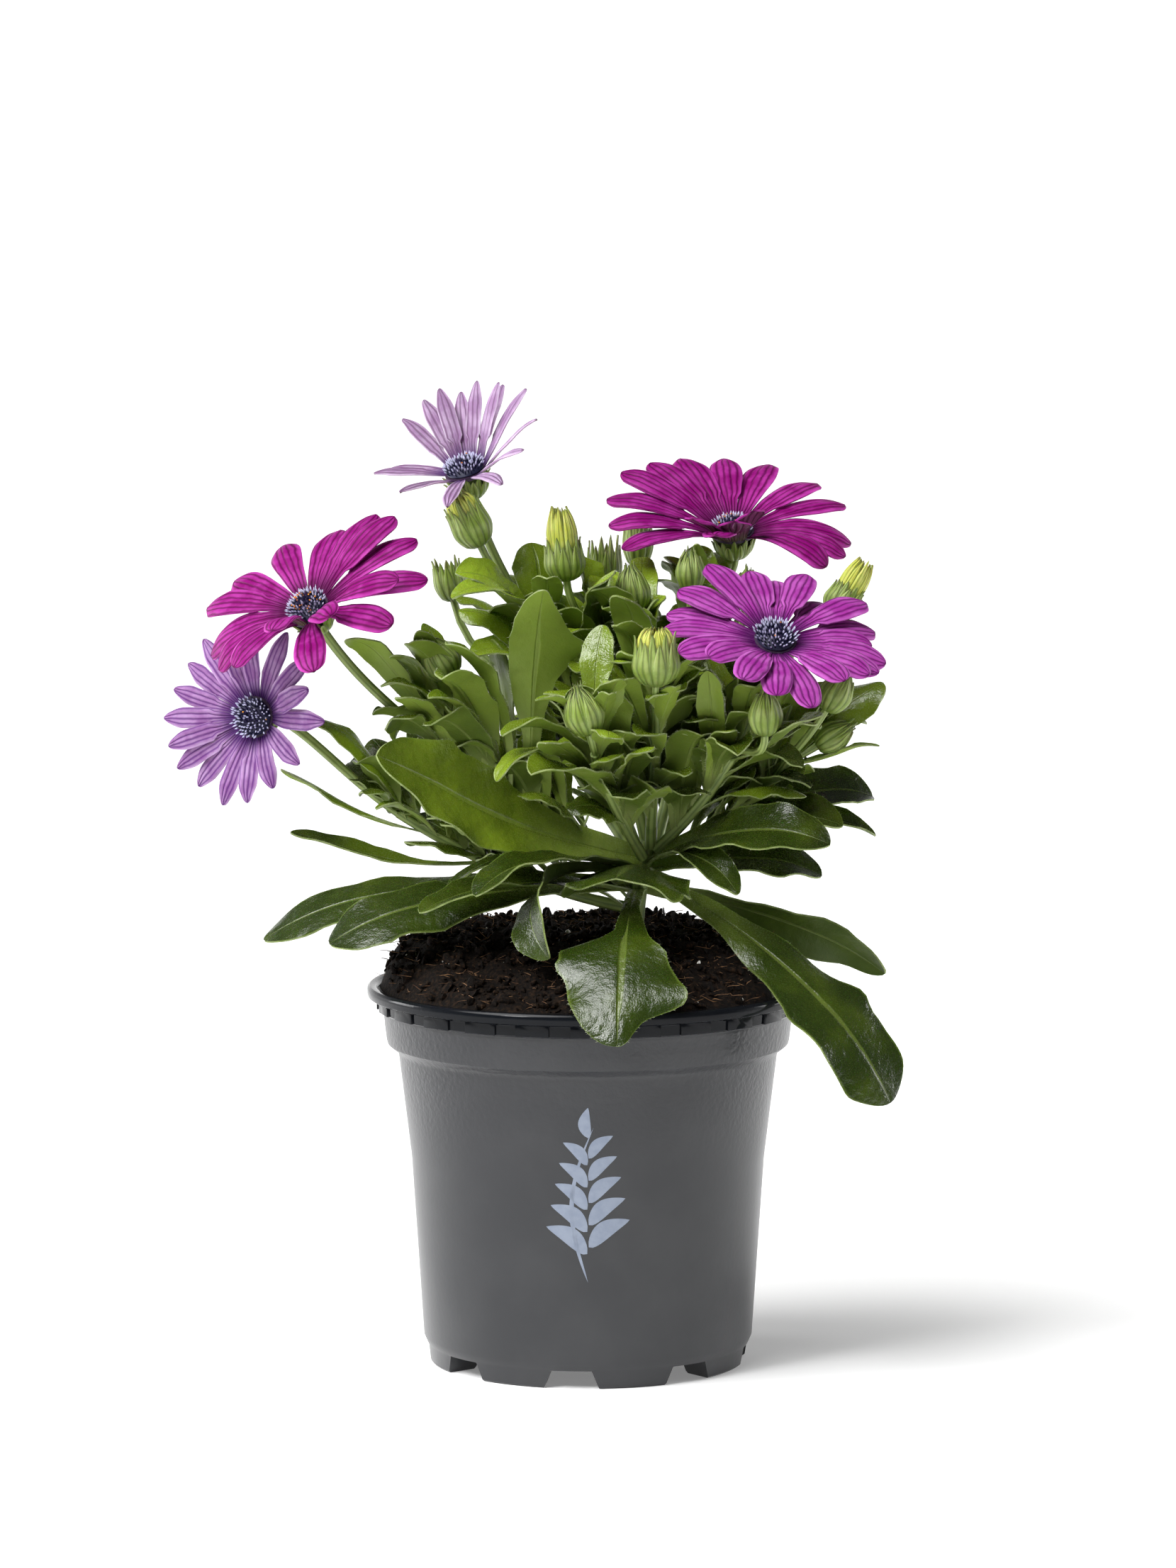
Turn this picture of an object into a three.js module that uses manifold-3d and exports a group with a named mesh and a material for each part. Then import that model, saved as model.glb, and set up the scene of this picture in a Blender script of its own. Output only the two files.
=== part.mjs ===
// A potted osteospermum: a 13 cm nursery pot of dark plastic filled with peat, and the bushy
// flowering plant that grows in it. Millimetres, +Z up, +Y away from the front. The plant and
// the pot are laid out round the pot's axis, then moved so that the origin is at the middle of
// the whole plant's footprint, on the surface that the pot stands on.
import * as THREE from 'three';
import { mergeVertices } from 'three/addons/utils/BufferGeometryUtils.js';
import Module from 'manifold-3d';

const wasm = await Module();
wasm.setup();

// ---------------------------------------------------------------- driving dimensions
const POT_AXIS = [17.7, 4.5, 0];
const GAP = 0.3;

const POT = {
  facets: 32,
  collarTop: 104.5, collarTopRadius: 60.3, collarFoot: 95.4, collarFootRadius: 59.3,
  neckTop: 108.2, neckRadius: 62, stepRadius: 56, stepHeight: 92.5,
  footHeight: 5.4, footRadius: 46.6, footInner: 36, footInnerLow: 36.8, floorTop: 7.2,
};
// The outside of the pot from its foot up to the step, and its inside from the rim down.
const POT_OUTSIDE = [[47.2, 5.4], [48.5, 8], [52, 61], [55.3, 88]];
const RIM_EDGE = [[64.4, 108.5], [65, 109.6], [65, 111.1], [64.2, 112]];
const POT_INSIDE = [[62.4, 112], [59.6, 108], [58.7, 104.5], [57.7, 96], [54, 91.2], [50.4, 61], [46.6, 7.2]];
const PADS = { count: 24, arc: 9.3, root: 60, proud: 0.9, low: 105.1, high: 107.9 };
const FEET = { count: 8, firstGap: -96, gapTop: 12, gapFoot: 17, inside: 34, outside: 52.6 };
const DRAINS = { radius: 4, ring: 30, facets: 6, depth: 12 };

const SOIL = { facets: 24, edge: 111.2, reach: 61.2, rise: 15, back: 3, front: 22, sharpness: 4 };
const LUMPS = { height: 0.7, x: 0.35, xShift: 1, y: 0.31, yShift: 0.5 };
// The soil's sections below its edge, and the radii of the rings that its domed top goes over.
const SOIL_WALL = [[46, 7.5], [49.7, 61], [53.2, 90.6], [56.9, 96.4], [58.7, 108], [61.2, 111.2]];
const SOIL_RINGS = [58, 54, 41, 22];
const WELL = { play: 0.45, steps: 8 };

const BLADE = 0.7;
const STALK = { trunk: 2.9, stem: 1.6, flower: 1.2, bud: 0.9, facets: 5 };
const STEPS = { trunk: 6, stem: 5, flower: 5, bud: 3 };
const STUB = 0.14;
// How a stalk leaves its stem and comes up under what it carries, as shares of its length.
const BEND = { bud: 0.45, leaving: 0.3, lift: 0.15, flower: 0.4, flowerFrom: 0.97, sunk: 0.8 };

const LEAF = { sunk: 0.5, waves: 10, phase: 0.37, otherEdge: 2, droopFrom: 0.7 };
const BROAD_LEAF = 15;

// Rings of a green bud, a tuft of yellow petals and a bloom's cup. Each is the radius and the
// height of the ribs and, where it differs, of the valleys between them, as shares of the
// thing's own radius and height.
const HUSK_POINTS = 5;
const BUD = {
  low: [[0.6, 0.1]], middle: [[1, 0.48]], closed: [[0.6, 1.14], [0.82, 0.8]],
  open: [[1.08, 1.05], [0.92, 0.8]], mouth: [[0.78, 0.8]], mouthHeight: 0.8,
};
const TUFT = { rings: [[[0.6, 0]], [[0.68, 0.45]], [[0.5, 1], [0.52, 0.72]]], top: 0.85, hidden: 0.2 };
const CUP = { rings: [[[0.42, -0.9]], [[0.85, -0.5]], [[1.22, -0.12], [1, -0.3]], [[0.9, 0]]] };

const BLOOM = { ring: 6.7, plate: 0.6, petal: 0.3, petalFrom: 5.9, cup: 5.6, cupDepth: 7.5 };
const SETTLE = { apart: 1.2, passes: 60, step: 0.5, stations: [0.5, 0.65, 0.8, 1] };
const DISC = { florets: 12, rows: [[5.5, 0], [5.6, 1.4], [4.3, 2.6], [2.3, 3.1]], top: 3.3, bump: 0.8 };

// Probes stand for what is already there while the bush is filled: how many lie along each
// thing, and how far from them the probes of a new leaf must stay.
const PROBES = {
  leaf: 8, leafFrom: 2, wide: 0.9, narrow: 0.45, trunk: 10, stem: 14, bud: 6, flower: 8,
  budHeights: [0.2, 0.6, 1, 1.4], petal: [0.2, 0.5, 0.8, 1],
};
const CLEAR = { other: 5, own: 3.4 };
const FILL = {
  seed: 11, tries: 30, swing: 24, shorter: 0.015, from: 0.25, over: 0.7, turn: 137.5,
  length: 40, taper: 12, lengthSpread: 6, width: 10, widthSpread: 4,
  forward: 0.78, outward: 0.62, curl: 50, lowest: 126, widest: 70,
};

// ---------------------------------------------------------------- finishes
const finish = (color, roughness) => new THREE.MeshStandardMaterial({ color, roughness, metalness: 0 });
const FINISH = {
  pot: finish(0x3a3c3f, 0.45),
  soil: finish(0x241a13, 0.95),
  leaf: finish(0x4d6b1e, 0.45),
  magenta: finish(0xa3208f, 0.5),
  violet: finish(0xa548ac, 0.5),
  lavender: finish(0x9a6fb8, 0.5),
  disc: finish(0x23243f, 0.7),
  yellow: finish(0xd3d454, 0.55),
};

// ---------------------------------------------------------------- small helpers
const rad = (degrees) => (degrees * Math.PI) / 180;
const vec = (p) => new THREE.Vector3(p[0], p[1], p[2]);
const UP = new THREE.Vector3(0, 0, 1);

// a + b * s
const along = (a, b, s) => a.clone().addScaledVector(b, s);

function seeded(seed) {
  let state = seed;
  return () => {
    state = (state * 16807) % 2147483647;
    return state / 2147483647;
  };
}

function signedVolume(points, index) {
  const [a, b, c] = [new THREE.Vector3(), new THREE.Vector3(), new THREE.Vector3()];
  let sum = 0;
  for (let i = 0; i < index.length; i += 3) {
    a.fromBufferAttribute(points, index[i]);
    b.fromBufferAttribute(points, index[i + 1]);
    c.fromBufferAttribute(points, index[i + 2]);
    sum += a.dot(b.cross(c));
  }
  return sum / 6;
}

// A closed mesh as a solid, faces out, with the collapsed triangles at its poles left out.
function solid(geometry) {
  const bare = geometry.clone();
  bare.deleteAttribute('normal');
  bare.deleteAttribute('uv');
  const merged = mergeVertices(bare, 1e-4);
  const source = merged.index.array;
  const index = [];
  for (let i = 0; i < source.length; i += 3) {
    const [a, b, c] = [source[i], source[i + 1], source[i + 2]];
    if (a !== b && b !== c && c !== a) index.push(a, b, c);
  }
  if (signedVolume(merged.attributes.position, index) < 0) {
    for (let i = 0; i < index.length; i += 3) [index[i], index[i + 1]] = [index[i + 1], index[i]];
  }
  return new wasm.Manifold(new wasm.Mesh({
    numProp: 3,
    vertProperties: new Float32Array(merged.attributes.position.array),
    triVerts: new Uint32Array(index),
  }));
}

const join = (bodies) => bodies.reduce((sum, body) => sum.add(body));

// The joined body with sealed hollows filled and loose scraps dropped.
function largest(body) {
  return body.decompose().reduce((best, piece) => (piece.volume() > best.volume() ? piece : best));
}

function named(name, body, material) {
  const { vertProperties, triVerts } = body.getMesh();
  const geometry = new THREE.BufferGeometry();
  geometry.setAttribute('position', new THREE.BufferAttribute(vertProperties, 3));
  geometry.setIndex(new THREE.BufferAttribute(triVerts, 1));
  geometry.computeVertexNormals();
  const mesh = new THREE.Mesh(geometry, material);
  mesh.name = name;
  return mesh;
}

function lathe(profile, facets) {
  const points = profile.map(([r, z]) => new THREE.Vector2(r, z));
  return solid(new THREE.LatheGeometry(points, facets).rotateX(Math.PI / 2));
}

// Sections are rings of points: the upper side left to right, then the under side back again.
// Both sides are split along the same diagonals, so a waved blade keeps its thickness.
function loft(sections) {
  const ring = sections[0].length;
  const half = ring / 2;
  const index = [];
  for (let i = 0; i < sections.length - 1; i += 1) {
    for (let j = 0; j < ring; j += 1) {
      const [a, b] = [i * ring + j, i * ring + ((j + 1) % ring)];
      const [c, d] = [a + ring, b + ring];
      if (j < half) index.push(a, b, d, a, d, c);
      else index.push(a, b, c, b, d, c);
    }
  }
  const last = (sections.length - 1) * ring;
  for (let j = 0; j < half - 1; j += 1) {
    const [a, b, c, d] = [j, j + 1, ring - 2 - j, ring - 1 - j];
    index.push(a, c, b, a, d, c);
    index.push(last + a, last + b, last + c, last + a, last + c, last + d);
  }
  const geometry = new THREE.BufferGeometry();
  const flat = sections.flat().flatMap((p) => [p.x, p.y, p.z]);
  geometry.setAttribute('position', new THREE.Float32BufferAttribute(flat, 3));
  geometry.setIndex(index);
  return solid(geometry);
}

function tube(curve, radius, steps) {
  const outline = [];
  for (let i = 0; i < STALK.facets; i += 1) {
    const turn = (i / STALK.facets) * 2 * Math.PI;
    outline.push(new THREE.Vector2(radius * Math.cos(turn), radius * Math.sin(turn)));
  }
  return solid(new THREE.ExtrudeGeometry(new THREE.Shape(outline), { steps, extrudePath: curve }));
}

const bezier = (p) => new THREE.CubicBezierCurve3(...p.map(vec));

// The stretch of a curve between two fractions of its length parameter.
class Stretch extends THREE.Curve {
  constructor(curve, from, to) {
    super();
    this.curve = curve;
    this.from = from;
    this.to = to;
  }

  getPoint(t, target = new THREE.Vector3()) {
    return this.curve.getPoint(this.from + (this.to - this.from) * t, target);
  }
}

// ---------------------------------------------------------------- blades
// A leaf's midrib is an arc from its root to its tip. curl is the whole angle that it bends
// through, downwards where it is positive, and roll turns it about the line from root to tip.
function arc(root, tip, curl, roll) {
  const chord = tip.clone().sub(root);
  const span = chord.length();
  const c = chord.normalize();
  const flatSide = UP.clone().cross(c).normalize();
  const flatUp = c.clone().cross(flatSide);
  const [cosRoll, sinRoll] = [Math.cos(rad(roll)), Math.sin(rad(roll))];
  const side = flatSide.clone().multiplyScalar(cosRoll).addScaledVector(flatUp, sinRoll);
  const up = flatUp.clone().multiplyScalar(cosRoll).addScaledVector(flatSide, -sinRoll);
  const half = rad(curl) / 2;
  const radius = span / (2 * Math.sin(half));
  const at = (u) => {
    const angle = half - 2 * half * u;
    const centre = along(root, c, radius * (Math.sin(half) - Math.sin(angle)));
    centre.addScaledVector(up, radius * (Math.cos(angle) - Math.cos(half)));
    const normal = up.clone().multiplyScalar(Math.cos(angle)).addScaledVector(c, -Math.sin(angle));
    return { centre, normal };
  };
  return { at, side, length: 2 * half * radius };
}

// Half widths of each leaf form at its stations, as shares of the greatest half width, with
// the height of its edges over the midrib, the wave of its edges and the droop of its tip.
// A form whose outline needs them has stations of its own.
// A leaf narrower than BROAD_LEAF is flat across and leaves two stations out.
const STATIONS = [0, 0.28, 0.52, 0.74, 0.91, 1];
const NARROW_STATIONS = [0, 2, 3, 5];
const FORMS = {
  spoon: { left: [0.18, 0.3, 0.7, 1, 0.72, 0], fold: 0.25, wave: 0.12, hook: 0.05 },
  oval: { left: [0.2, 0.55, 0.95, 1, 0.7, 0], fold: 0.18, wave: 0.1, hook: 0.06 },
  strap: { left: [0.22, 0.62, 0.95, 1, 0.72, 0], fold: 0.3, wave: 0.08, hook: 0.02 },
  point: { left: [0.3, 0.85, 1, 0.8, 0.42, 0], fold: 0.35, wave: 0.05, hook: 0.04 },
  paddle: { left: [0.14, 0.36, 0.76, 1, 0.88, 0], fold: -0.1, wave: 0.1, hook: 0.05 },
  saddle: { left: [0.2, 0.7, 1, 0.95, 0.7, 0], fold: -0.38, wave: 0.1, hook: 0 },
  lobed: {
    at: [0, 0.3, 0.5, 0.6, 0.74, 0.81, 0.9, 1],
    left: [0.14, 0.14, 0.36, 0.6, 0.98, 1.08, 0.4, 0],
    right: [0.14, 0.14, 0.2, 1.08, 0.93, 0.88, 0.7, 0],
    fold: -0.12, wave: 0.05, hook: 0.03,
  },
  crest: {
    at: [0, 0.28, 0.52, 0.68, 0.74, 0.91, 1],
    left: [0.2, 0.3, 0.61, 1.45, 1, 0.4, 0],
    right: [0.2, 0.25, 0.7, 0.8, 0.8, 0.5, 0],
    fold: 0.12, wave: 0.06, hook: 0.02,
  },
};

// A leaf's row: where its root sits on its stem, the tip, width, curl, roll and form.
function leafRib(stalk, row) {
  const [at, x, y, z, , curl, roll] = row;
  const tip = vec([x, y, z]);
  const middle = stalk.curve.getPoint(at);
  const root = along(middle, tip.clone().sub(middle).normalize(), stalk.radius * LEAF.sunk);
  return arc(root, tip, curl, roll);
}

function leafBody(stalk, row) {
  const [, x, y, z, width, , , form] = row;
  const shape = FORMS[form];
  const rib = leafRib(stalk, row);
  const stations = shape.at ?? STATIONS;
  const broad = width >= BROAD_LEAF;
  const used = broad ? stations.map((u, i) => i) : NARROW_STATIONS;
  return loft(used.map((i) => {
    const u = stations[i];
    const { centre, normal } = rib.at(u);
    const past = Math.max(0, (u - LEAF.droopFrom) / (1 - LEAF.droopFrom));
    centre.addScaledVector(normal, -(past ** 2) * shape.hook * rib.length);
    const edge = (share, sign, turn) => {
      const half = (width / 2) * share[i];
      const wave = shape.wave * Math.sin(LEAF.waves * u + LEAF.phase * (x + y + z) + turn);
      const lift = broad ? half * (shape.fold + wave) : 0;
      return along(along(centre, rib.side, sign * half), normal, lift);
    };
    const left = edge(shape.left, 1, 0);
    const right = edge(shape.right ?? shape.left, -1, LEAF.otherEdge);
    const top = broad ? [left, centre, right] : [left, right];
    const upper = top.map((p) => along(p, normal, BLADE / 2));
    const under = top.map((p) => along(p, normal, -BLADE / 2)).reverse();
    return [...upper, ...under];
  }));
}

// Points spread over a leaf, which keep later leaves out of its way.
function leafProbes(stalk, row) {
  const rib = leafRib(stalk, row);
  const probes = [];
  for (let i = PROBES.leafFrom; i <= PROBES.leaf; i += 1) {
    const u = i / PROBES.leaf;
    const half = (row[4] / 2) * (u > 0.5 ? PROBES.wide : PROBES.narrow);
    for (const across of [-half, 0, half]) probes.push(along(rib.at(u).centre, rib.side, across));
  }
  return probes;
}

// ---------------------------------------------------------------- pot
function potProfile() {
  const p = POT;
  return [
    [0, p.footHeight], [p.footInner, p.footHeight], [p.footInnerLow, 0], [p.footRadius, 0],
    ...POT_OUTSIDE,
    [p.stepRadius, p.stepHeight], [p.collarFootRadius, p.collarFoot],
    [p.collarTopRadius, p.collarTop], [p.neckRadius, p.neckTop],
    ...RIM_EDGE, ...POT_INSIDE, [0, p.floorTop],
  ];
}

// A block that is swept outwards from the pot's axis at an angle, for a foot gap or a pad.
function radialBlock(outline, from, to, degrees) {
  const shape = new THREE.Shape(outline.map(([x, z]) => new THREE.Vector2(x, z)));
  const block = new THREE.ExtrudeGeometry(shape, { depth: to - from, bevelEnabled: false });
  block.rotateX(Math.PI / 2).translate(0, -from, 0);
  return solid(block.rotateZ(rad(degrees + 90)));
}

function buildPot() {
  let body = lathe(potProfile(), POT.facets);
  const padHalf = POT.neckRadius * Math.sin(rad(PADS.arc / 2));
  const padOutline = [
    [-padHalf, PADS.low], [padHalf, PADS.low], [padHalf, PADS.high], [-padHalf, PADS.high],
  ];
  for (let i = 0; i < PADS.count; i += 1) {
    const turn = (i * 360) / PADS.count;
    body = body.add(radialBlock(padOutline, PADS.root, POT.neckRadius + PADS.proud, turn));
  }
  const [top, foot] = [FEET.gapTop / 2, FEET.gapFoot / 2];
  const gapOutline = [[-foot, -1], [foot, -1], [top, POT.footHeight], [-top, POT.footHeight]];
  for (let i = 0; i < FEET.count; i += 1) {
    const turn = FEET.firstGap + (i * 360) / FEET.count;
    body = body.subtract(radialBlock(gapOutline, FEET.inside, FEET.outside, turn));
    const { radius, depth, facets } = DRAINS;
    const drain = new THREE.CylinderGeometry(radius, radius, depth, facets);
    drain.rotateX(Math.PI / 2).translate(DRAINS.ring, 0, POT.footHeight).rotateZ(rad(turn));
    body = body.subtract(solid(drain));
  }
  return body;
}

// ---------------------------------------------------------------- soil
// The peat stands proud at the back and the sides and slopes down to the rim at the front.
function soilHeight(x, y) {
  const reach = Math.hypot(x, y);
  const facing = reach > 0 ? (1 - y / reach) / 2 : 0.5;
  const slope = SOIL.back + SOIL.front * facing ** SOIL.sharpness;
  const dome = SOIL.rise * (1 - Math.exp(-(SOIL.reach - reach) / slope));
  const lump = Math.sin(LUMPS.x * x + LUMPS.xShift) * Math.cos(LUMPS.y * y + LUMPS.yShift);
  return SOIL.edge + dome + LUMPS.height * lump;
}

function buildSoil() {
  const points = [];
  const index = [];
  const rows = [...SOIL_WALL, ...SOIL_RINGS.map((r) => [r, null])];
  for (const [r, z] of rows) {
    for (let i = 0; i < SOIL.facets; i += 1) {
      const turn = (i / SOIL.facets) * 2 * Math.PI;
      const [x, y] = [r * Math.cos(turn), r * Math.sin(turn)];
      points.push(x, y, z ?? soilHeight(x, y));
    }
  }
  const ringOf = (row, i) => row * SOIL.facets + (i % SOIL.facets);
  for (let row = 0; row < rows.length - 1; row += 1) {
    for (let i = 0; i < SOIL.facets; i += 1) {
      const [a, b] = [ringOf(row, i), ringOf(row, i + 1)];
      const [c, d] = [ringOf(row + 1, i), ringOf(row + 1, i + 1)];
      index.push(a, b, d, a, d, c);
    }
  }
  const floorPole = points.length / 3;
  points.push(0, 0, POT.floorTop + GAP, 0, 0, soilHeight(0, 0));
  for (let i = 0; i < SOIL.facets; i += 1) {
    index.push(floorPole, ringOf(0, i + 1), ringOf(0, i));
    index.push(floorPole + 1, ringOf(rows.length - 1, i), ringOf(rows.length - 1, i + 1));
  }
  const geometry = new THREE.BufferGeometry();
  geometry.setAttribute('position', new THREE.Float32BufferAttribute(points, 3));
  geometry.setIndex(index);
  const well = tube(bezier(TRUNK), STALK.trunk + WELL.play, WELL.steps);
  return largest(solid(geometry).subtract(well));
}

// ---------------------------------------------------------------- stems
// Control points of the trunk and of each leafy stem, from the crown outwards.
const TRUNK = [[13, 0, 108], [13.5, 0, 128], [14, 0, 142], [18, 0, 154]];

const STEMS = {
  stem_a: {
    path: [[13, -2, 146], [-8, 3, 156], [-28, 0, 170], [-44, -3, 183]],
    leaves: [
      [0.5, -13, -32, 232, 19, 34, 0, 'crest'],
      [0.6, -40, -26, 216, 14, 50, -30, 'spoon'],
      [0.68, -42, -34, 207, 13, 60, 0, 'oval'],
      [0.85, -55, -24, 201, 8, 40, 10, 'strap'],
      [0.72, -45, -30, 202, 7, 50, -20, 'strap'],
      [0.95, -56, -10, 213, 9, 60, 20, 'oval'],
      [0.9, -49, -16, 218, 8, 50, 30, 'oval'],
      [0.88, -47, 6, 219, 8, 40, 0, 'spoon'],
      [0.95, -59, 8, 185, 6, 120, 0, 'strap'],
      [0.62, -28, -2, 214, 11, 30, 0, 'oval'],
      [0.4, -21, 6, 201, 12, 30, 0, 'spoon'],
    ],
    fill: 4,
  },
  stem_b: {
    path: [[13, 2, 134], [-12, 6, 138], [-35, 8, 148], [-56, 8, 161.5]],
    leaves: [
      [0.95, -80, 3, 192, 8, 40, -30, 'strap'],
      [0.9, -71, 20, 177, 12, 50, -40, 'oval'],
      [0.85, -89, 13, 176, 6, -30, 10, 'strap'],
      [0.8, -62, -5, 166, 6, 50, 0, 'spoon'],
      [0.6, -87, 16, 157, 8, -40, -20, 'spoon'],
      [0.5, -54, 0, 154, 9, 40, 0, 'oval'],
    ],
    fill: 3,
  },
  stem_c: {
    path: [[15, 3, 150], [8, 8, 168], [-2, 14, 190], [-14, 17, 212]],
    leaves: [
      [0.97, -38, -2, 235, 13, 60, -40, 'spoon'],
      [0.9, -38, 18, 227, 10, 30, 0, 'strap'],
      [0.99, -16, 22, 241, 14, 30, 0, 'oval'],
      [0.95, -26, 30, 233, 9, 40, 0, 'oval'],
      [0.84, -39, -14, 232, 10, 70, -10, 'strap'],
      [0.93, -12, -8, 233, 9, 50, 0, 'spoon'],
    ],
    fill: 5,
  },
  stem_d: {
    path: [[20, 4, 153], [26, 11, 175], [31, 19, 198], [34, 24, 218]],
    leaves: [
      [0.8, 24, 26, 237, 9, 40, 0, 'strap'],
      [0.85, 32, 12, 242, 8, 40, 0, 'point'],
      [0.6, 16, 20, 223, 11, 40, 0, 'oval'],
      [0.55, 35, -6, 206, 10, 40, 0, 'spoon'],
    ],
    fill: 7,
  },
  stem_e: {
    path: [[20, -3, 152], [31, -10, 163], [41, -16, 176], [46, -19, 190]],
    leaves: [
      [0.17, 32, -30, 192, 14, 30, 0, 'oval'],
      [0.5, 43, -40, 187, 13, 60, 0, 'oval'],
      [0.75, 64, -44, 199, 9, -30, 20, 'strap'],
      [0.62, 35, -30, 208, 8, -30, 0, 'strap'],
      [0.9, 48, -34, 205, 8, 30, 0, 'oval'],
      [0.85, 66, -30, 192, 8, 60, 0, 'spoon'],
    ],
    fill: 3,
  },
  stem_f: {
    path: [[17, 1, 154], [13, 6, 174], [5, 13, 196], [2, 19, 214]],
    leaves: [
      [0.8, -6, -12, 219, 11, 40, 0, 'oval'],
      [0.6, -3, -22, 210, 10, 40, 0, 'strap'],
      [0.8, 6, -12, 235, 12, 70, 55, 'strap'],
    ],
    fill: 7,
  },
  stem_g: {
    path: [[18.5, -1, 155], [19, -2, 172], [17, -3, 190], [14, -2, 208]],
    leaves: [
      [0.62, 10, -18, 232, 11, 40, 0, 'oval'],
      [0.8, 16, 18, 239, 9, 40, 0, 'strap'],
      [0.75, 27, -22, 215, 9, 50, 0, 'oval'],
    ],
    fill: 7,
  },
  stem_h: {
    path: [[18.5, -3, 153], [18, -12, 168], [21, -22, 184], [19.5, -33, 201]],
    leaves: [
      [0.6, 9, -34, 225, 9, 50, 20, 'oval'],
      [0.45, 6, -46, 209, 9, 50, 0, 'spoon'],
      [0.7, 25, -44, 204, 6, 30, 0, 'strap'],
      [0.8, 36, -34, 216, 8, 40, 30, 'oval'],
    ],
    fill: 4,
  },
  stem_i: {
    path: [[16, -4, 150], [9, -16, 163], [4, -28, 175], [2, -38, 184]],
    leaves: [
      [0.85, -15, -50, 202, 5, 80, 0, 'point'],
      [0.85, 6, -53, 203, 6, 60, 0, 'strap'],
      [0.45, 11, -46, 192, 10, 60, 0, 'spoon'],
      [0.7, -25, -48, 192, 10, 80, 0, 'strap'],
      [0.55, -28, -50, 182, 9, 80, 0, 'oval'],
      [0.65, -14, -54, 190, 7, 40, 20, 'oval'],
      [0.95, 4, -32, 221, 10, 40, 0, 'spoon'],
      [0.2, -16, -56, 182, 14, 50, -10, 'strap'],
    ],
    fill: 2,
  },
  stem_k: {
    path: [[21, 1, 150], [36, 3, 155], [50, 3, 167], [60, 2, 178]],
    leaves: [
      [0.95, 67, -10, 191, 6, 40, 0, 'oval'],
      [0.95, 82, 6, 191, 8, 50, 30, 'oval'],
      [0.95, 84, 0, 185, 5, -20, 0, 'point'],
      [0.9, 87, 8, 200, 13, 50, 40, 'spoon'],
      [0.25, 85, 0, 160, 12, 20, 30, 'point'],
      [0.3, 85, 12, 168, 18, 50, 35, 'spoon'],
    ],
    fill: 4,
  },
  stem_l: {
    path: [[14, 5, 148], [6, 18, 160], [-6, 34, 174], [-16, 46, 188]],
    leaves: [],
    fill: 8,
  },
  stem_m: {
    path: [[20, 5, 150], [28, 18, 162], [38, 34, 176], [46, 46, 190]],
    leaves: [],
    fill: 8,
  },
};

// Basal leaves of the crown, rooted on the trunk.
const BASAL = [
  [0.86, -55.5, -48, 186, 26, -44, -60, 'oval'],
  [0.7, -97, -4, 130, 18, 25, -25, 'paddle'],
  [0.66, -76, -26, 131, 22, 25, -25, 'paddle'],
  [0.62, -49, -38, 140, 14, 30, -10, 'oval'],
  [0.78, -33, -48, 148, 16, 34, 0, 'oval'],
  [0.74, -14, -53, 127, 15, 110, 50, 'spoon'],
  [0.82, 8, -46, 149, 36, 14, 0, 'saddle'],
  [0.66, 8, -76, 106, 34, 60, 0, 'lobed'],
  [0.76, 90, -42, 85, 25, 44, 25, 'paddle'],
  [0.66, 89, 12, 115, 14.8, 30, -45, 'oval'],
  [0.86, 74, -22, 164, 18, 40, 25, 'spoon'],
  [0.84, 69, -40, 161, 18, 40, 35, 'oval'],
  [0.78, 69, -8, 147.5, 18, 30, 25, 'oval'],
  [0.8, 44, -32, 143.5, 10, 90, 20, 'spoon'],
  [0.55, -46, -14, 138, 8, 100, 0, 'strap'],
  [0.5, -53, -2, 134, 6, 80, 0, 'strap'],
];

// Green buds and opening buds: stem, root on it, foot, lean, radius, height and yellow length.
const BUDS = {
  stem_a: [[0.95, [-40, -6, 203], [-0.5, -0.1, 0.8], 6, 13, 0]],
  stem_c: [
    [0.98, [-31.5, 8, 240.4], [-0.42, -0.1, 0.9], 5.8, 13, 4],
    [0.6, [-40, 34, 222], [-0.2, 0, 1], 4.4, 12, 0],
  ],
  stem_d: [
    [0.75, [30, 9, 227], [0, 0, 1], 4, 12, 0],
    [0.7, [46, 1, 222], [0.1, 0, 1], 4.4, 12, 0],
  ],
  stem_e: [[0.8, [51, -36, 189], [0, -0.1, 1], 4.6, 13, 0]],
  stem_f: [
    [0.95, [-6.3, 9, 230], [-0.1, 0, 1], 5.8, 11, 11],
    [0.98, [4.7, 28, 226], [0, 0, 1], 5, 14, 0],
  ],
  stem_g: [
    [0.95, [13.6, 0, 221], [-0.1, 0, 1], 5, 14, 0],
    [0.8, [15, 39, 232], [0, 0.1, 1], 4.2, 14, 0],
  ],
  stem_h: [[0.98, [19.4, -40, 203.5], [0, 0, 1], 6.8, 13, 4]],
  stem_i: [[0.95, [0.5, -43, 190], [-0.25, -0.1, 0.95], 5.6, 14, 0]],
  stem_k: [
    [0.95, [67, 1, 182], [0.8, 0, 0.5], 4.4, 12, 0],
    [0.85, [69, -14, 194], [0.5, 0, 0.85], 4.6, 13, 0],
    [0.75, [72, 6, 220], [0.5, 0.2, 0.8], 5.2, 9, 10],
  ],
  stem_l: [[0.95, [-18, 51, 196], [-0.2, 0.3, 1], 4.8, 13, 0]],
  stem_m: [[0.95, [49, 51, 199], [0.2, 0.3, 1], 4.6, 13, 0]],
};

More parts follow.
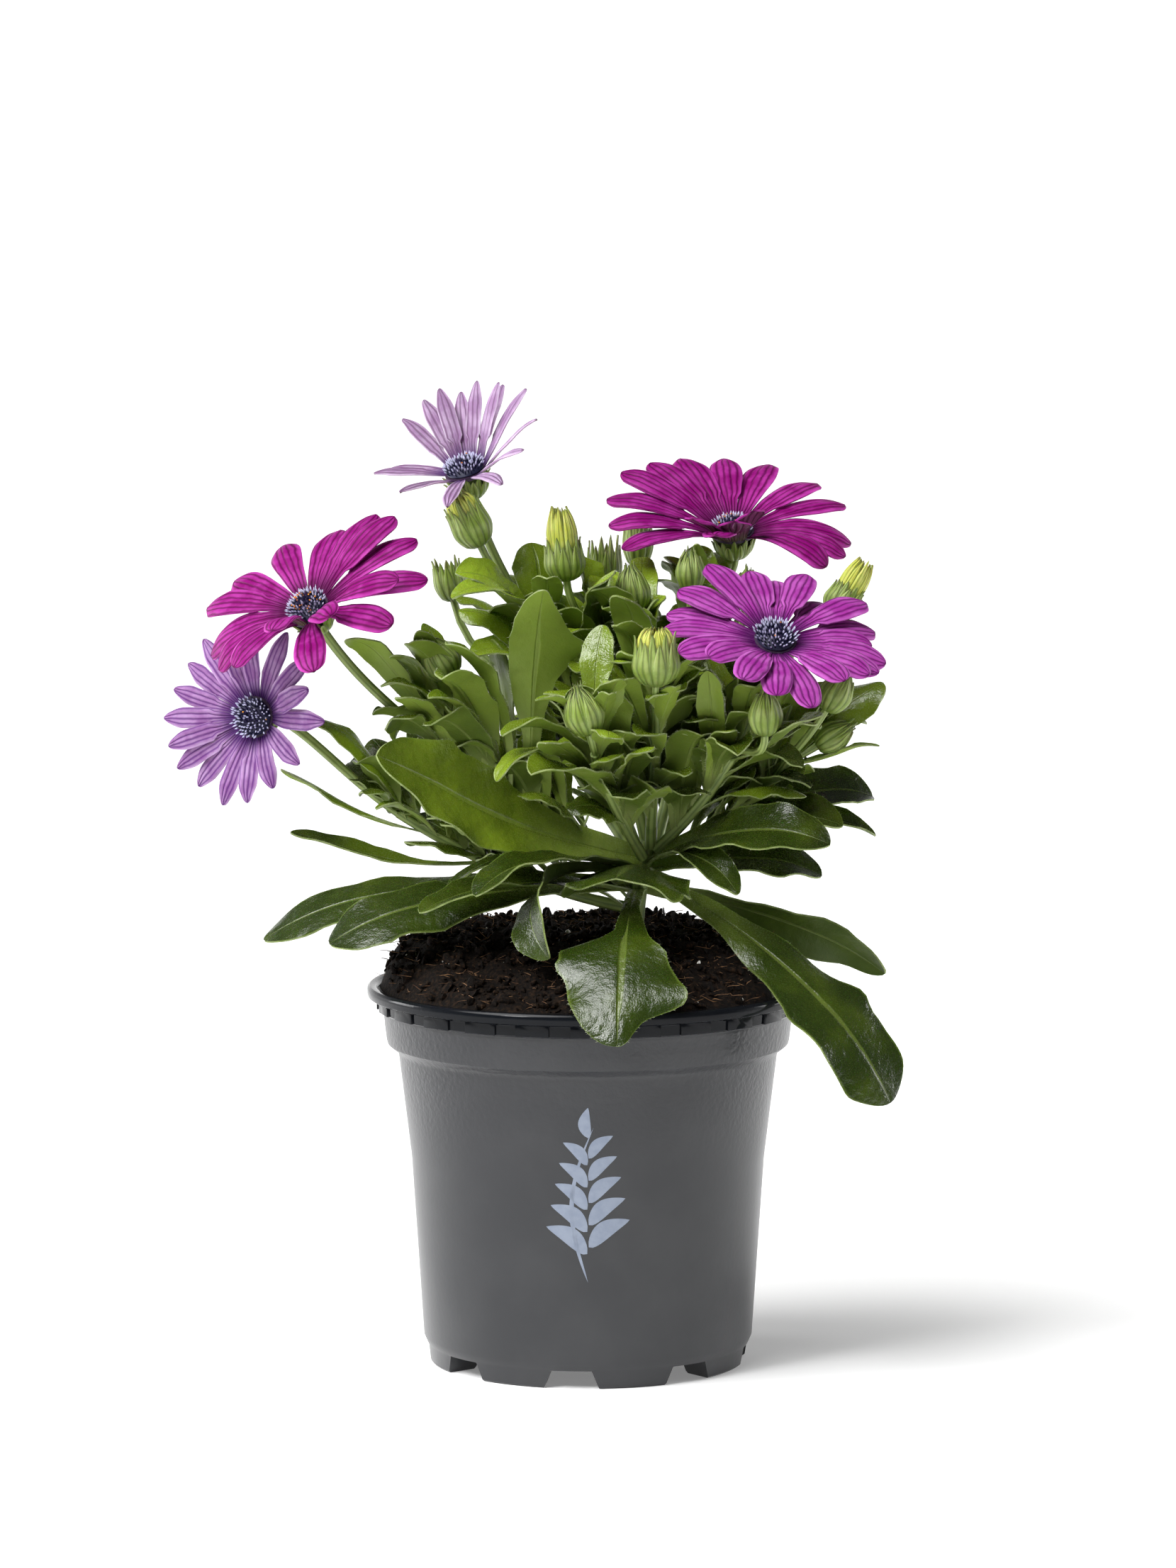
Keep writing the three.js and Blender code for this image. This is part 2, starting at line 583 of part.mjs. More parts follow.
// Open blooms: the stem that each grows on, the middle of its petal ring, the way that it
// faces, and its petals as rows of azimuth round the axis, lift, curl, length and width.
const BLOOMS = {
  a: {
    stem: 'stem_a', centre: [-81, -10, 223], axis: [-0.42, -0.55, 0.72],
    colour: 'magenta', shape: 'broad', width: 9.2,
    petals: [
      [-177, 18, 35, 33], [165, 15, 22, 30], [136, 15, 30, 31], [106, 15, 35, 30], [84, 20, 25, 32],
      [68, 20, 25, 32], [54, 14, 25, 32], [26, 14, 30, 32], [14, 34, 35, 29], [-9, 20, 25, 30],
      [-28, 56, 40, 22], [-52, 30, 30, 31], [-78, 76, 60, 19], [-135, 24, 60, 28], [-156, 22, 55, 32],
      [-110, 44, 60, 25],
    ],
  },
  b: {
    stem: 'stem_b', centre: [-98, 8, 190], axis: [-0.42, -0.9, 0.08],
    colour: 'lavender', shape: 'slim', width: 6.2,
    petals: [
      [150, -4, 10, 24], [166, 8, 10, 23], [-177, 10, 10, 24], [-160, 14, 15, 23], [-147, 10, 10, 24],
      [-132, 6, 15, 23], [-108, 20, 15, 22], [-88, 24, 20, 20], [-62, 40, 25, 19], [-33, 42, 25, 20],
      [0, 38, 15, 25], [21, 42, 15, 24], [40, 34, 20, 24], [64, 25, 20, 23], [86, 34, 15, 23],
      [110, 20, 15, 21], [130, 5, 10, 23],
    ],
  },
  c: {
    stem: 'stem_c', centre: [-36, 20, 261], axis: [-0.25, -0.28, 0.93],
    colour: 'lavender', shape: 'slim', width: 5.2,
    petals: [
      [165, 38, 10, 26], [-162, 12, 10, 24], [-177, 10, 10, 26], [-90, 25, 10, 23], [-60, 16, 20, 23],
      [150, 52, 10, 26], [138, 54, 10, 26], [124, 50, 10, 25], [108, 54, 10, 26], [92, 54, 10, 26],
      [62, 54, 10, 26], [78, 60, 10, 25], [22, 42, 10, 25], [-4, 32, 10, 24], [-26, 22, 20, 24],
    ],
  },
  d: {
    stem: 'stem_d', centre: [43, 25, 243], axis: [-0.05, -0.38, 0.92],
    colour: 'magenta', shape: 'broad', width: 9.8,
    petals: [
      [160, 38, 30, 34], [178, 38, 35, 34], [-163, 36, 35, 33], [-146, 30, 35, 32], [138, 36, 30, 33],
      [120, 32, 30, 34], [100, 28, 25, 32], [80, 22, 25, 34], [55, 16, 25, 33], [36, 12, 25, 33],
      [12, 14, 45, 31], [-11, 18, 45, 30], [-28, 24, 60, 29], [-60, 62, 30, 17], [-82, 70, 30, 15],
      [-100, 66, 30, 15], [-124, 58, 30, 17],
    ],
  },
  e: {
    stem: 'stem_e', centre: [54, -30, 216], axis: [0.08, -0.58, 0.81],
    colour: 'violet', shape: 'broad', width: 9,
    petals: [
      [-162, 28, 25, 26], [-146, 36, 30, 22], [-117, 34, 30, 26], [-98, 30, 25, 26], [-80, 22, 25, 28],
      [-60, 30, 25, 27], [-42, 30, 25, 27], [-32, 16, 25, 27], [-18, 14, 25, 27], [0, 12, 25, 23],
      [16, 4, 20, 27], [30, 14, 25, 28], [50, -4, 20, 26], [66, 14, 25, 27], [82, 8, 25, 26],
      [96, 10, 20, 26], [120, 25, 25, 28], [140, 18, 25, 28], [152, 10, 25, 28], [170, 14, 25, 27],
    ],
  },
};

// A stalk leaves its stem and comes up under what it carries, along that thing's own axis.
function stalkCurve(root, foot, axis) {
  const reach = root.distanceTo(foot) * BEND.bud;
  const rise = along(root, foot.clone().sub(root), BEND.leaving);
  rise.addScaledVector(UP, reach * BEND.lift);
  return new THREE.CubicBezierCurve3(root, rise, along(foot, axis, -reach), foot);
}

// Directions across an axis: the first level, the second at a right angle to it.
function across(axis) {
  const first = UP.clone().cross(axis);
  if (first.length() < 0.05) first.set(1, 0, 0);
  first.normalize();
  return [first, axis.clone().cross(first)];
}

const around = (e1, e2, degrees) => e1.clone().multiplyScalar(Math.cos(rad(degrees)))
  .addScaledVector(e2, Math.sin(rad(degrees)));

// A husk is a round body of rings that end in points, with ribs that run up into the points.
function husk(origin, axis, rings, [radius, height], bottom, top) {
  const [e1, e2] = across(axis);
  const count = 2 * HUSK_POINTS;
  const points = [];
  for (const [rib, valley] of rings.map((ring) => [ring[0], ring[1] ?? ring[0]])) {
    for (let i = 0; i < count; i += 1) {
      const [r, z] = i % 2 ? valley : rib;
      const out = around(e1, e2, (i * 360) / count);
      points.push(along(along(origin, out, r * radius), axis, z * height));
    }
  }
  return closedRings(points, count, along(origin, axis, bottom), along(origin, axis, top));
}

// Rings of points closed by a pole below the first and a pole over the last.
function closedRings(points, count, bottom, top) {
  const index = [];
  const rows = points.length / count;
  const ringOf = (row, i) => row * count + (i % count);
  for (let i = 0; i < count; i += 1) {
    for (let row = 0; row < rows - 1; row += 1) {
      const [a, b] = [ringOf(row, i), ringOf(row, i + 1)];
      const [c, d] = [ringOf(row + 1, i), ringOf(row + 1, i + 1)];
      if (i % 2) index.push(a, b, d, a, d, c);
      else index.push(a, b, c, b, d, c);
    }
    index.push(points.length, ringOf(0, i + 1), ringOf(0, i));
    index.push(points.length + 1, ringOf(rows - 1, i), ringOf(rows - 1, i + 1));
  }
  const geometry = new THREE.BufferGeometry();
  const flat = [...points, bottom, top].flatMap((p) => [p.x, p.y, p.z]);
  geometry.setAttribute('position', new THREE.Float32BufferAttribute(flat, 3));
  geometry.setIndex(index);
  return solid(geometry);
}

// A bud's green body with its pointed bracts; a bud that is opening is cut off flat inside.
function greenBud([, foot, lean, r, h, yellow]) {
  const axis = vec(lean).normalize();
  const rings = [BUD.low, BUD.middle, ...(yellow > 0 ? [BUD.open, BUD.mouth] : [BUD.closed])];
  return husk(vec(foot), axis, rings, [r, h], 0, yellow > 0 ? BUD.mouthHeight * h : h);
}

// The yellow petals that stand up together in an opening bud.
function yellowPetals([, foot, lean, r, h, yellow]) {
  const axis = vec(lean).normalize();
  const tall = h * TUFT.hidden + yellow;
  const origin = along(vec(foot), axis, h * BUD.mouthHeight + GAP);
  return husk(origin, axis, TUFT.rings, [r, tall], 0, TUFT.top * tall);
}

// The green cup under a bloom, with its bracts.
function bloomCup({ centre, axis: facing }) {
  const axis = vec(facing).normalize();
  const origin = along(vec(centre), axis, -BLOOM.plate - GAP);
  const depth = BLOOM.cupDepth;
  const cup = husk(origin, axis, CUP.rings, [BLOOM.cup, depth], -depth, 0);
  return { cup, foot: along(origin, axis, BEND.sunk - depth), axis };
}

// ---------------------------------------------------------------- petals and discs
const PETAL_STATIONS = [0, 0.38, 0.8, 1];
const PETAL_HALF = { broad: [0.26, 0.7, 1, 0.42], slim: [0.3, 0.85, 0.9, 0.24] };

function petalCentre(bloom, [azimuth, lift, curl, length], u) {
  const axis = vec(bloom.axis).normalize();
  const [e1, e2] = across(axis);
  const out = around(e1, e2, azimuth);
  const [start, bend] = [rad(lift), rad(curl)];
  const angle = start - bend * u;
  const radius = length / bend;
  const reach = BLOOM.petalFrom + radius * (Math.sin(start) - Math.sin(angle));
  const centre = along(vec(bloom.centre), out, reach);
  centre.addScaledVector(axis, radius * (Math.cos(angle) - Math.cos(start)));
  const normal = axis.clone().multiplyScalar(Math.cos(angle)).addScaledVector(out, -Math.sin(angle));
  return { centre, normal, side: axis.clone().cross(out) };
}

// How far out from an axis a point is, and how far along it.
function fromAxis(offset, axis) {
  const height = offset.dot(axis);
  return [Math.sqrt(offset.lengthSq() - height * height), height];
}

// A bloom's petals by azimuth, with neighbours that overlap lifted and lowered until one lies
// clear over the other.
function settledPetals(bloom) {
  const axis = vec(bloom.axis).normalize();
  const centre = vec(bloom.centre);
  const petals = bloom.petals.map((row) => [...row]).sort((a, b) => a[0] - b[0]);
  const place = (row, u) => fromAxis(petalCentre(bloom, row, u).centre.sub(centre), axis);
  for (let pass = 0; pass < SETTLE.passes; pass += 1) {
    petals.forEach((row, k) => {
      const next = petals[(k + 1) % petals.length];
      const turn = rad((next[0] - row[0] + 360) % 360);
      const steps = [];
      for (const u of SETTLE.stations) {
        const [[r, height], [nextR, nextHeight]] = [place(row, u), place(next, u)];
        if ((turn * (r + nextR)) / 2 < bloom.width) steps.push(height - nextHeight);
      }
      const over = Math.sign(steps.reduce((sum, step) => sum + step, 0)) || 1;
      if (steps.some((step) => step * over < SETTLE.apart)) {
        row[1] += over * SETTLE.step;
        next[1] -= over * SETTLE.step;
      }
    });
  }
  return petals;
}

// All of a bloom's petals as one body. The plate's edge is cut at the middle of each gap between
// neighbours, and a petal grows from each stretch of it. At its neck it stays within its own
// stretch. Both faces of a petal are split along the same diagonals.
function buildPetals(bloom) {
  const axis = vec(bloom.axis).normalize();
  const [e1, e2] = across(axis);
  const centre = vec(bloom.centre);
  const petals = settledPetals(bloom);
  const count = petals.length;
  const points = [];
  const cuts = petals.map(([azimuth], k) => {
    const before = k > 0 ? petals[k - 1][0] : petals[count - 1][0] - 360;
    return (azimuth - before) / 2;
  });
  petals.forEach(([azimuth], k) => {
    const edge = along(centre, around(e1, e2, azimuth - cuts[k]), BLOOM.ring);
    points.push(along(edge, axis, BLOOM.plate), along(edge, axis, -BLOOM.plate));
  });
  const index = [];
  const quad = (a, b, c, d) => index.push(a, b, c, a, c, d);
  petals.forEach((row, k) => {
    const next = (k + 1) % count;
    let from = [2 * next, 2 * k, 2 * k + 1, 2 * next + 1];
    for (let i = 1; i < PETAL_STATIONS.length; i += 1) {
      const { centre: middle, normal, side } = petalCentre(bloom, row, PETAL_STATIONS[i]);
      const [reach] = fromAxis(middle.clone().sub(centre), axis);
      const room = (cut) => (i > 1 ? Infinity : reach * Math.tan(rad(cut)) - GAP);
      const half = (bloom.width / 2) * PETAL_HALF[bloom.shape][i];
      const left = along(middle, side, Math.min(half, room(cuts[next])));
      const right = along(middle, side, -Math.min(half, room(cuts[k])));
      const first = points.length;
      for (const [p, sign] of [[left, 1], [right, 1], [right, -1], [left, -1]]) {
        points.push(along(p, normal, sign * BLOOM.petal));
      }
      const to = [first, first + 1, first + 2, first + 3];
      for (const j of [0, 1, 3]) quad(from[j], from[(j + 1) % 4], to[(j + 1) % 4], to[j]);
      quad(from[3], to[3], to[2], from[2]);
      from = to;
    }
    quad(from[0], from[1], from[2], from[3]);
  });
  const pole = points.length;
  points.push(along(centre, axis, BLOOM.plate), along(centre, axis, -BLOOM.plate));
  for (let k = 0; k < count; k += 1) {
    const next = (k + 1) % count;
    index.push(pole, 2 * k, 2 * next, pole + 1, 2 * next + 1, 2 * k + 1);
  }
  const geometry = new THREE.BufferGeometry();
  const flat = points.flatMap((p) => [p.x, p.y, p.z]);
  geometry.setAttribute('position', new THREE.Float32BufferAttribute(flat, 3));
  geometry.setIndex(index);
  return solid(geometry);
}

// The disc is a low dome set with florets, which stand up from it by turns.
function buildDisc(bloom) {
  const axis = vec(bloom.axis).normalize();
  const [e1, e2] = across(axis);
  const origin = along(vec(bloom.centre), axis, BLOOM.plate + GAP);
  const points = [];
  DISC.rows.forEach(([r, h], row) => {
    for (let i = 0; i < DISC.florets; i += 1) {
      const bump = row > 0 && (i + row) % 2 ? DISC.bump : 0;
      const out = around(e1, e2, (i * 360) / DISC.florets);
      points.push(along(along(origin, out, r), axis, h + bump));
    }
  });
  return closedRings(points, DISC.florets, origin, along(origin, axis, DISC.top));
}

// ---------------------------------------------------------------- leaves that fill the bush
// Probes of all that stands already. A filling leaf is turned and shortened until it is clear.
const taken = [];

function take(node, points) {
  for (const point of points) taken.push({ node, point });
}

function isClear(node, points) {
  return points.every((p) => taken.every((t) => (
    p.distanceToSquared(t.point) > (t.node === node ? CLEAR.own : CLEAR.other) ** 2)));
}

function takeCurve(node, curve, count) {
  for (let i = 1; i <= count; i += 1) take(node, [curve.getPoint(i / count)]);
}

function fillingLeaf(node, stalk, k, count, draw) {
  const { curve } = stalk;
  const at = FILL.from + (FILL.over * (k + 0.5)) / count;
  const root = curve.getPoint(at);
  const forward = curve.getTangent(at);
  const [e1, e2] = across(forward);
  const azimuth = FILL.turn * k + 360 * draw();
  const length = FILL.length - FILL.taper * at + FILL.lengthSpread * draw();
  const width = FILL.width + FILL.widthSpread * draw();
  for (let n = 0; n < FILL.tries; n += 1) {
    const swing = (n % 2 ? 1 : -1) * Math.ceil(n / 2) * FILL.swing;
    const out = around(e1, e2, azimuth + swing);
    const reach = length * (1 - FILL.shorter * n);
    const tip = along(along(root, forward, reach * FILL.forward), out, reach * FILL.outward);
    const row = [at, tip.x, tip.y, tip.z, width, FILL.curl, 0, 'spoon'];
    const probes = leafProbes(stalk, row);
    const inReach = tip.z > FILL.lowest && Math.hypot(tip.x, tip.y) < FILL.widest;
    if (inReach && isClear(node, probes)) return { row, probes };
  }
  return null;
}

// ---------------------------------------------------------------- the plant
function plantNodes() {
  const trunk = { curve: bezier(TRUNK), radius: STALK.trunk };
  const crown = [tube(trunk.curve, STALK.trunk, STEPS.trunk)];
  takeCurve('crown', trunk.curve, PROBES.trunk);
  for (const row of BASAL) {
    crown.push(leafBody(trunk, row));
    take('crown', leafProbes(trunk, row));
  }
  const bodies = {};
  for (const name of Object.keys(STEMS)) {
    const curve = bezier(STEMS[name].path);
    const stalk = { curve, radius: STALK.stem };
    crown.push(tube(new Stretch(curve, 0, STUB), STALK.stem, 1));
    const free = new Stretch(curve, STUB + GAP / curve.getLength(), 1);
    const parts = [tube(free, STALK.stem, STEPS.stem)];
    takeCurve(name, curve, PROBES.stem);
    for (const row of STEMS[name].leaves) {
      parts.push(leafBody(stalk, row));
      take(name, leafProbes(stalk, row));
    }
    for (const bud of BUDS[name] ?? []) {
      const axis = vec(bud[2]).normalize();
      const budFoot = vec(bud[1]);
      const budStalk = stalkCurve(curve.getPoint(bud[0]), along(budFoot, axis, BEND.sunk), axis);
      parts.push(tube(budStalk, STALK.bud, STEPS.bud), greenBud(bud));
      takeCurve(name, budStalk, PROBES.bud);
      take(name, PROBES.budHeights.map((share) => along(budFoot, axis, bud[4] * share)));
    }
    bodies[name] = { stalk, parts };
  }
  for (const bloom of Object.values(BLOOMS)) {
    const { cup, foot, axis } = bloomCup(bloom);
    const { stalk } = bodies[bloom.stem];
    const end = stalk.curve.getPoint(1);
    const reach = end.distanceTo(foot) * BEND.flower;
    const leaving = along(end, stalk.curve.getTangent(1), reach);
    const flowerStalk = new THREE.CubicBezierCurve3(
      stalk.curve.getPoint(BEND.flowerFrom), leaving, along(foot, axis, -reach), foot);
    bodies[bloom.stem].parts.push(tube(flowerStalk, STALK.flower, STEPS.flower), cup);
    takeCurve(bloom.stem, flowerStalk, PROBES.flower);
    for (const row of bloom.petals) {
      take('petals', PROBES.petal.map((u) => petalCentre(bloom, row, u).centre));
    }
  }
  const draw = seeded(FILL.seed);
  for (const [name, { stalk, parts }] of Object.entries(bodies)) {
    for (let k = 0; k < STEMS[name].fill; k += 1) {
      const leaf = fillingLeaf(name, stalk, k, STEMS[name].fill, draw);
      if (leaf === null) continue;
      parts.push(leafBody(stalk, leaf.row));
      take(name, leaf.probes);
    }
  }
  const nodes = [['crown', largest(join(crown)), FINISH.leaf]];
  for (const [name, { parts }] of Object.entries(bodies)) {
    nodes.push([name, largest(join(parts)), FINISH.leaf]);
  }
  return nodes;
}

// ---------------------------------------------------------------- assembly
const group = new THREE.Group();
group.position.set(...POT_AXIS);
group.add(named('pot', buildPot(), FINISH.pot));
group.add(named('soil', buildSoil(), FINISH.soil));
for (const [name, body, material] of plantNodes()) group.add(named(name, body, material));
for (const [key, bloom] of Object.entries(BLOOMS)) {
  group.add(named(`bloom_${key}_petals`, buildPetals(bloom), FINISH[bloom.colour]));
  group.add(named(`bloom_${key}_disc`, buildDisc(bloom), FINISH.disc));
}
for (const [stem, buds] of Object.entries(BUDS)) {
  for (const bud of buds) {
    if (bud[5] > 0) group.add(named(`${stem}_bud_petals`, yellowPetals(bud), FINISH.yellow));
  }
}

export default group;
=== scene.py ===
"""A potted osteospermum: its nursery pot, its peat and the flowering plant.

The plant and the pot are laid out in millimetres round the pot's axis and written to their
meshes in metres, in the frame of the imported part.
"""

import logging
import math
from dataclasses import dataclass, field
from enum import Enum
from typing import Callable, Iterable, NamedTuple

import bpy
import numpy as np
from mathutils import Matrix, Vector, noise

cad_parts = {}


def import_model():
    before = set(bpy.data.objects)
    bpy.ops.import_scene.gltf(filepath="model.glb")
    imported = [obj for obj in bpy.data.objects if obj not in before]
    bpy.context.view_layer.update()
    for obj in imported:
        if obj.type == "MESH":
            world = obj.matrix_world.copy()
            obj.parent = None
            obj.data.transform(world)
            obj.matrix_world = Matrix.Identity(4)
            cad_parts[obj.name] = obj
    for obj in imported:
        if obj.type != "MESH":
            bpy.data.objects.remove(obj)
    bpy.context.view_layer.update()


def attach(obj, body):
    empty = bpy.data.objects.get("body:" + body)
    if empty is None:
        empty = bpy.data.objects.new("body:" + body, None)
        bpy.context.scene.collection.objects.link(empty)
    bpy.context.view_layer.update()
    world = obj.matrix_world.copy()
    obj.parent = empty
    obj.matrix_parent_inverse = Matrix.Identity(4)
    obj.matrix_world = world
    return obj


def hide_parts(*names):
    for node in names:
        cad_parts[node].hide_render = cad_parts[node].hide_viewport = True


Array = np.ndarray
Socket = bpy.types.NodeSocket
Piece = bpy.types.Object
Point = tuple[float, float, float]
Colour = tuple[float, float, float, float]
Material = bpy.types.Material
Node = bpy.types.Node

log = logging.getLogger("osteospermum")

MM = 0.001
POT_AXIS = np.array([17.7, 4.5, 0.0])
UP = np.array([0.0, 0.0, 1.0])
GAP = 0.3
TINY = 1e-6
FLESH_DEPTH = 0.0012


# ---- vectors and curves
def unit(v: Array) -> Array:
    """Scale a vector, or rows of them, to length one."""
    return v / np.linalg.norm(v, axis=-1, keepdims=True)


def across(axis: Array) -> tuple[Array, Array]:
    """Find two directions square to an axis, the first of them level."""
    first = np.cross(UP, axis)
    if np.linalg.norm(first) < 0.05:
        first = np.array([1.0, 0.0, 0.0])
    first = unit(first)
    return first, np.cross(axis, first)


def around(e1: Array, e2: Array, degrees: float) -> Array:
    """Turn from e1 towards e2 by an angle in degrees."""
    turn = math.radians(degrees)
    return e1 * math.cos(turn) + e2 * math.sin(turn)


def spread(e1: Array, e2: Array, turn: Array) -> Array:
    """Turn from e1 towards e2 by many angles in radians, a row for each."""
    return e1 * np.cos(turn)[:, None] + e2 * np.sin(turn)[:, None]


def smooth_through(stations: Iterable[float], values: Iterable[float], u: Array) -> Array:
    """Read a smooth curve through given values, without overshoot.

    Args:
        stations: rising positions of the values.
        values: the curve's value at each station.
        u: the positions to read.

    Returns:
        The curve's value at each position.
    """
    x = np.asarray(stations, float)
    y = np.asarray(values, float)
    step = np.diff(x)
    slope = np.diff(y) / step
    tangent = np.empty_like(y)
    tangent[0] = slope[0]
    tangent[-1] = slope[-1]
    both = slope[:-1] * slope[1:]
    mean = 2 * both / np.where(both > 0, slope[:-1] + slope[1:], 1)
    tangent[1:-1] = np.where(both > 0, mean, 0)
    i = np.clip(np.searchsorted(x, u, side="right") - 1, 0, len(x) - 2)
    t = (u - x[i]) / step[i]
    rise = (3 - 2 * t) * t * t * (y[i + 1] - y[i])
    lean = t * (1 - t) * step[i] * ((1 - t) * tangent[i] - t * tangent[i + 1])
    return y[i] + rise + lean


class Curve:
    """A cubic Bezier curve through space."""

    def __init__(self, *controls: Array) -> None:
        """Keep the four control points."""
        self.controls = np.array(controls, float)

    def at(self, t: Array | float) -> Array:
        """Give the points at fractions t of the curve."""
        t = np.asarray(t, float)[..., None]
        a, b, c, d = self.controls
        return (1 - t) ** 3 * a + 3 * (1 - t) ** 2 * t * b + 3 * (1 - t) * t**2 * c + t**3 * d

    def tangent(self, t: Array | float) -> Array:
        """Give the directions of the curve at fractions t."""
        t = np.asarray(t, float)[..., None]
        a, b, c, d = self.controls
        return unit((1 - t) ** 2 * (b - a) + 2 * (1 - t) * t * (c - b) + t**2 * (d - c))


@dataclass(frozen=True)
class Rib:
    """A midrib: an arc from a leaf's root to its tip."""

    root: Array
    chord: Array
    side: Array
    up: Array
    half: float
    radius: float

    @classmethod
    def between(cls, root: Array, tip: Array, curl: float, roll: float) -> "Rib":
        """Bend an arc between two points.

        Args:
            root: where the leaf starts.
            tip: where it ends.
            curl: the whole angle that it bends through, downwards where positive.
            roll: its turn about the line from root to tip, in degrees.

        Returns:
            The arc.
        """
        span = np.linalg.norm(tip - root)
        chord = (tip - root) / span
        flat_side = unit(np.cross(UP, chord))
        flat_up = np.cross(chord, flat_side)
        turn = math.radians(roll)
        side = flat_side * math.cos(turn) + flat_up * math.sin(turn)
        up = flat_up * math.cos(turn) - flat_side * math.sin(turn)
        half = math.radians(curl) / 2
        return cls(root, chord, side, up, half, span / (2 * math.sin(half)))

    @property
    def length(self) -> float:
        """The length of the arc."""
        return 2 * self.half * self.radius

    def at(self, u: Array) -> tuple[Array, Array]:
        """Give the midrib's points and the leaf's upward normals at fractions from the root."""
        angle = (self.half - 2 * self.half * np.asarray(u, float))[..., None]
        out = self.radius * (math.sin(self.half) - np.sin(angle))
        rise = self.radius * (np.cos(angle) - math.cos(self.half))
        centre = self.root + self.chord * out + self.up * rise
        return centre, self.up * np.cos(angle) - self.chord * np.sin(angle)


# ---- the workbench
@dataclass(frozen=True)
class Sheet:
    """The corners and faces of a primitive sheet, ready to be copied."""

    s: Array
    t: Array
    faces: Array


class Copy(NamedTuple):
    """One laid-out copy of a sheet: its corners, its shade and its material."""

    sheet: Sheet
    points: Array
    shade: float = 0.5
    material: int = 0


class Workbench:
    """Primitives modelled once, and the tools that lay out, thicken and join copies."""

    def __init__(self) -> None:
        """Start with an empty bench."""
        self.sheets: dict[tuple[int, int], Sheet] = {}

    @staticmethod
    def pick(*pieces: Piece) -> None:
        """Select these pieces alone, with the first one active."""
        bpy.ops.object.select_all(action="DESELECT")
        for piece in pieces:
            piece.select_set(True)
        bpy.context.view_layer.objects.active = pieces[0]

    def sheet(self, columns: int, rows: int) -> Sheet:
        """Model a unit sheet of columns by rows of faces once, and give it again when asked."""
        if (columns, rows) not in self.sheets:
            bpy.ops.object.select_all(action="DESELECT")
            bpy.ops.mesh.primitive_grid_add(x_subdivisions=columns, y_subdivisions=rows, size=1)
            grid = bpy.context.object
            self.sheets[columns, rows] = self.sheet_of(grid)
            bpy.data.objects.remove(grid)
        return self.sheets[columns, rows]

    @staticmethod
    def sheet_of(piece: Piece) -> Sheet:
        """Read the corners and the four-sided faces of a flat primitive."""
        count = len(piece.data.vertices)
        corners = np.empty(count * 3)
        piece.data.vertices.foreach_get("co", corners)
        corners = corners.reshape(-1, 3) + 0.5
        faces = np.empty(len(piece.data.loops), np.int32)
        piece.data.loops.foreach_get("vertex_index", faces)
        return Sheet(corners[:, 0], corners[:, 1], faces.reshape(-1, 4))

    def lay(self, name: str, copies: list[Copy], materials: list[Material]) -> Piece:
        """Make one piece of many laid-out copies.

        Args:
            name: the piece's name.
            copies: the copies, with their corners in millimetres round the pot's axis.
            materials: the materials that the copies' numbers stand for.

        Returns:
            The piece, with its corners in metres in the part's frame.
        """
        points = (np.concatenate([c.points for c in copies]) + POT_AXIS) * MM
        starts = np.cumsum([0] + [len(c.points) for c in copies[:-1]])
        faces = np.concatenate([c.sheet.faces + start for c, start in zip(copies, starts)])
        flat = np.stack([np.concatenate([c.sheet.s for c in copies]),
                         np.concatenate([c.sheet.t for c in copies])], axis=1)
        mesh = bpy.data.meshes.new(name)
        mesh.vertices.add(len(points))
        mesh.vertices.foreach_set("co", points.ravel())
        mesh.loops.add(faces.size)
        mesh.loops.foreach_set("vertex_index", faces.ravel())
        mesh.polygons.add(len(faces))
        mesh.polygons.foreach_set("loop_start", np.arange(0, faces.size, 4))
        counts = [len(c.sheet.faces) for c in copies]
        mesh.polygons.foreach_set("material_index", np.repeat([c.material for c in copies], counts))
        mesh.uv_layers.new(name="UVMap").data.foreach_set("uv", flat[faces.ravel()].ravel())
        shade = mesh.attributes.new("shade", "FLOAT", "POINT")
        shade.data.foreach_set("value", np.repeat([c.shade for c in copies],
                                                  [len(c.points) for c in copies]))
        for material in materials:
            mesh.materials.append(material)
        mesh.update(calc_edges=True)
        mesh.validate()
        piece = bpy.data.objects.new(name, mesh)
        bpy.context.scene.collection.objects.link(piece)
        self.close(piece)
        return piece

    def close(self, piece: Piece) -> None:
        """Merge the corners that meet at a piece's seams and poles."""
        self.pick(piece)
        bpy.ops.object.mode_set(mode="EDIT")
        bpy.ops.mesh.select_all(action="SELECT")
        bpy.ops.mesh.remove_doubles(threshold=TINY)
        bpy.ops.object.mode_set(mode="OBJECT")

    def thicken(self, piece: Piece, thickness: float, under: int = 0, rim: int = 0) -> None:
        """Give a piece made of sheets its thickness, half of it to each side.

        Args:
            piece: the piece.
            thickness: in millimetres.
            under: how many materials on from a face's own its under side uses.
            rim: how many materials on its edge uses.
        """
        self.pick(piece)
        wall = piece.modifiers.new("thickness", "SOLIDIFY")
        wall.thickness = thickness * MM
        wall.offset = 0
        wall.material_offset = under
        wall.material_offset_rim = rim
        bpy.ops.object.modifier_apply(modifier=wall.name)

    def joined(self, name: str, *pieces: Piece) -> Piece:
        """Join pieces into the first of them, under a new name."""
        self.pick(*pieces)
        if len(pieces) > 1:
            bpy.ops.object.join()
        piece = bpy.context.object
        piece.name = name
        piece.data.name = name
        return piece

    def smooth(self, piece: Piece, angle: float = 50) -> Piece:
        """Shade a piece smooth, apart from edges sharper than an angle in degrees."""
        self.pick(piece)
        bpy.ops.object.shade_smooth_by_angle(angle=math.radians(angle))
        return piece

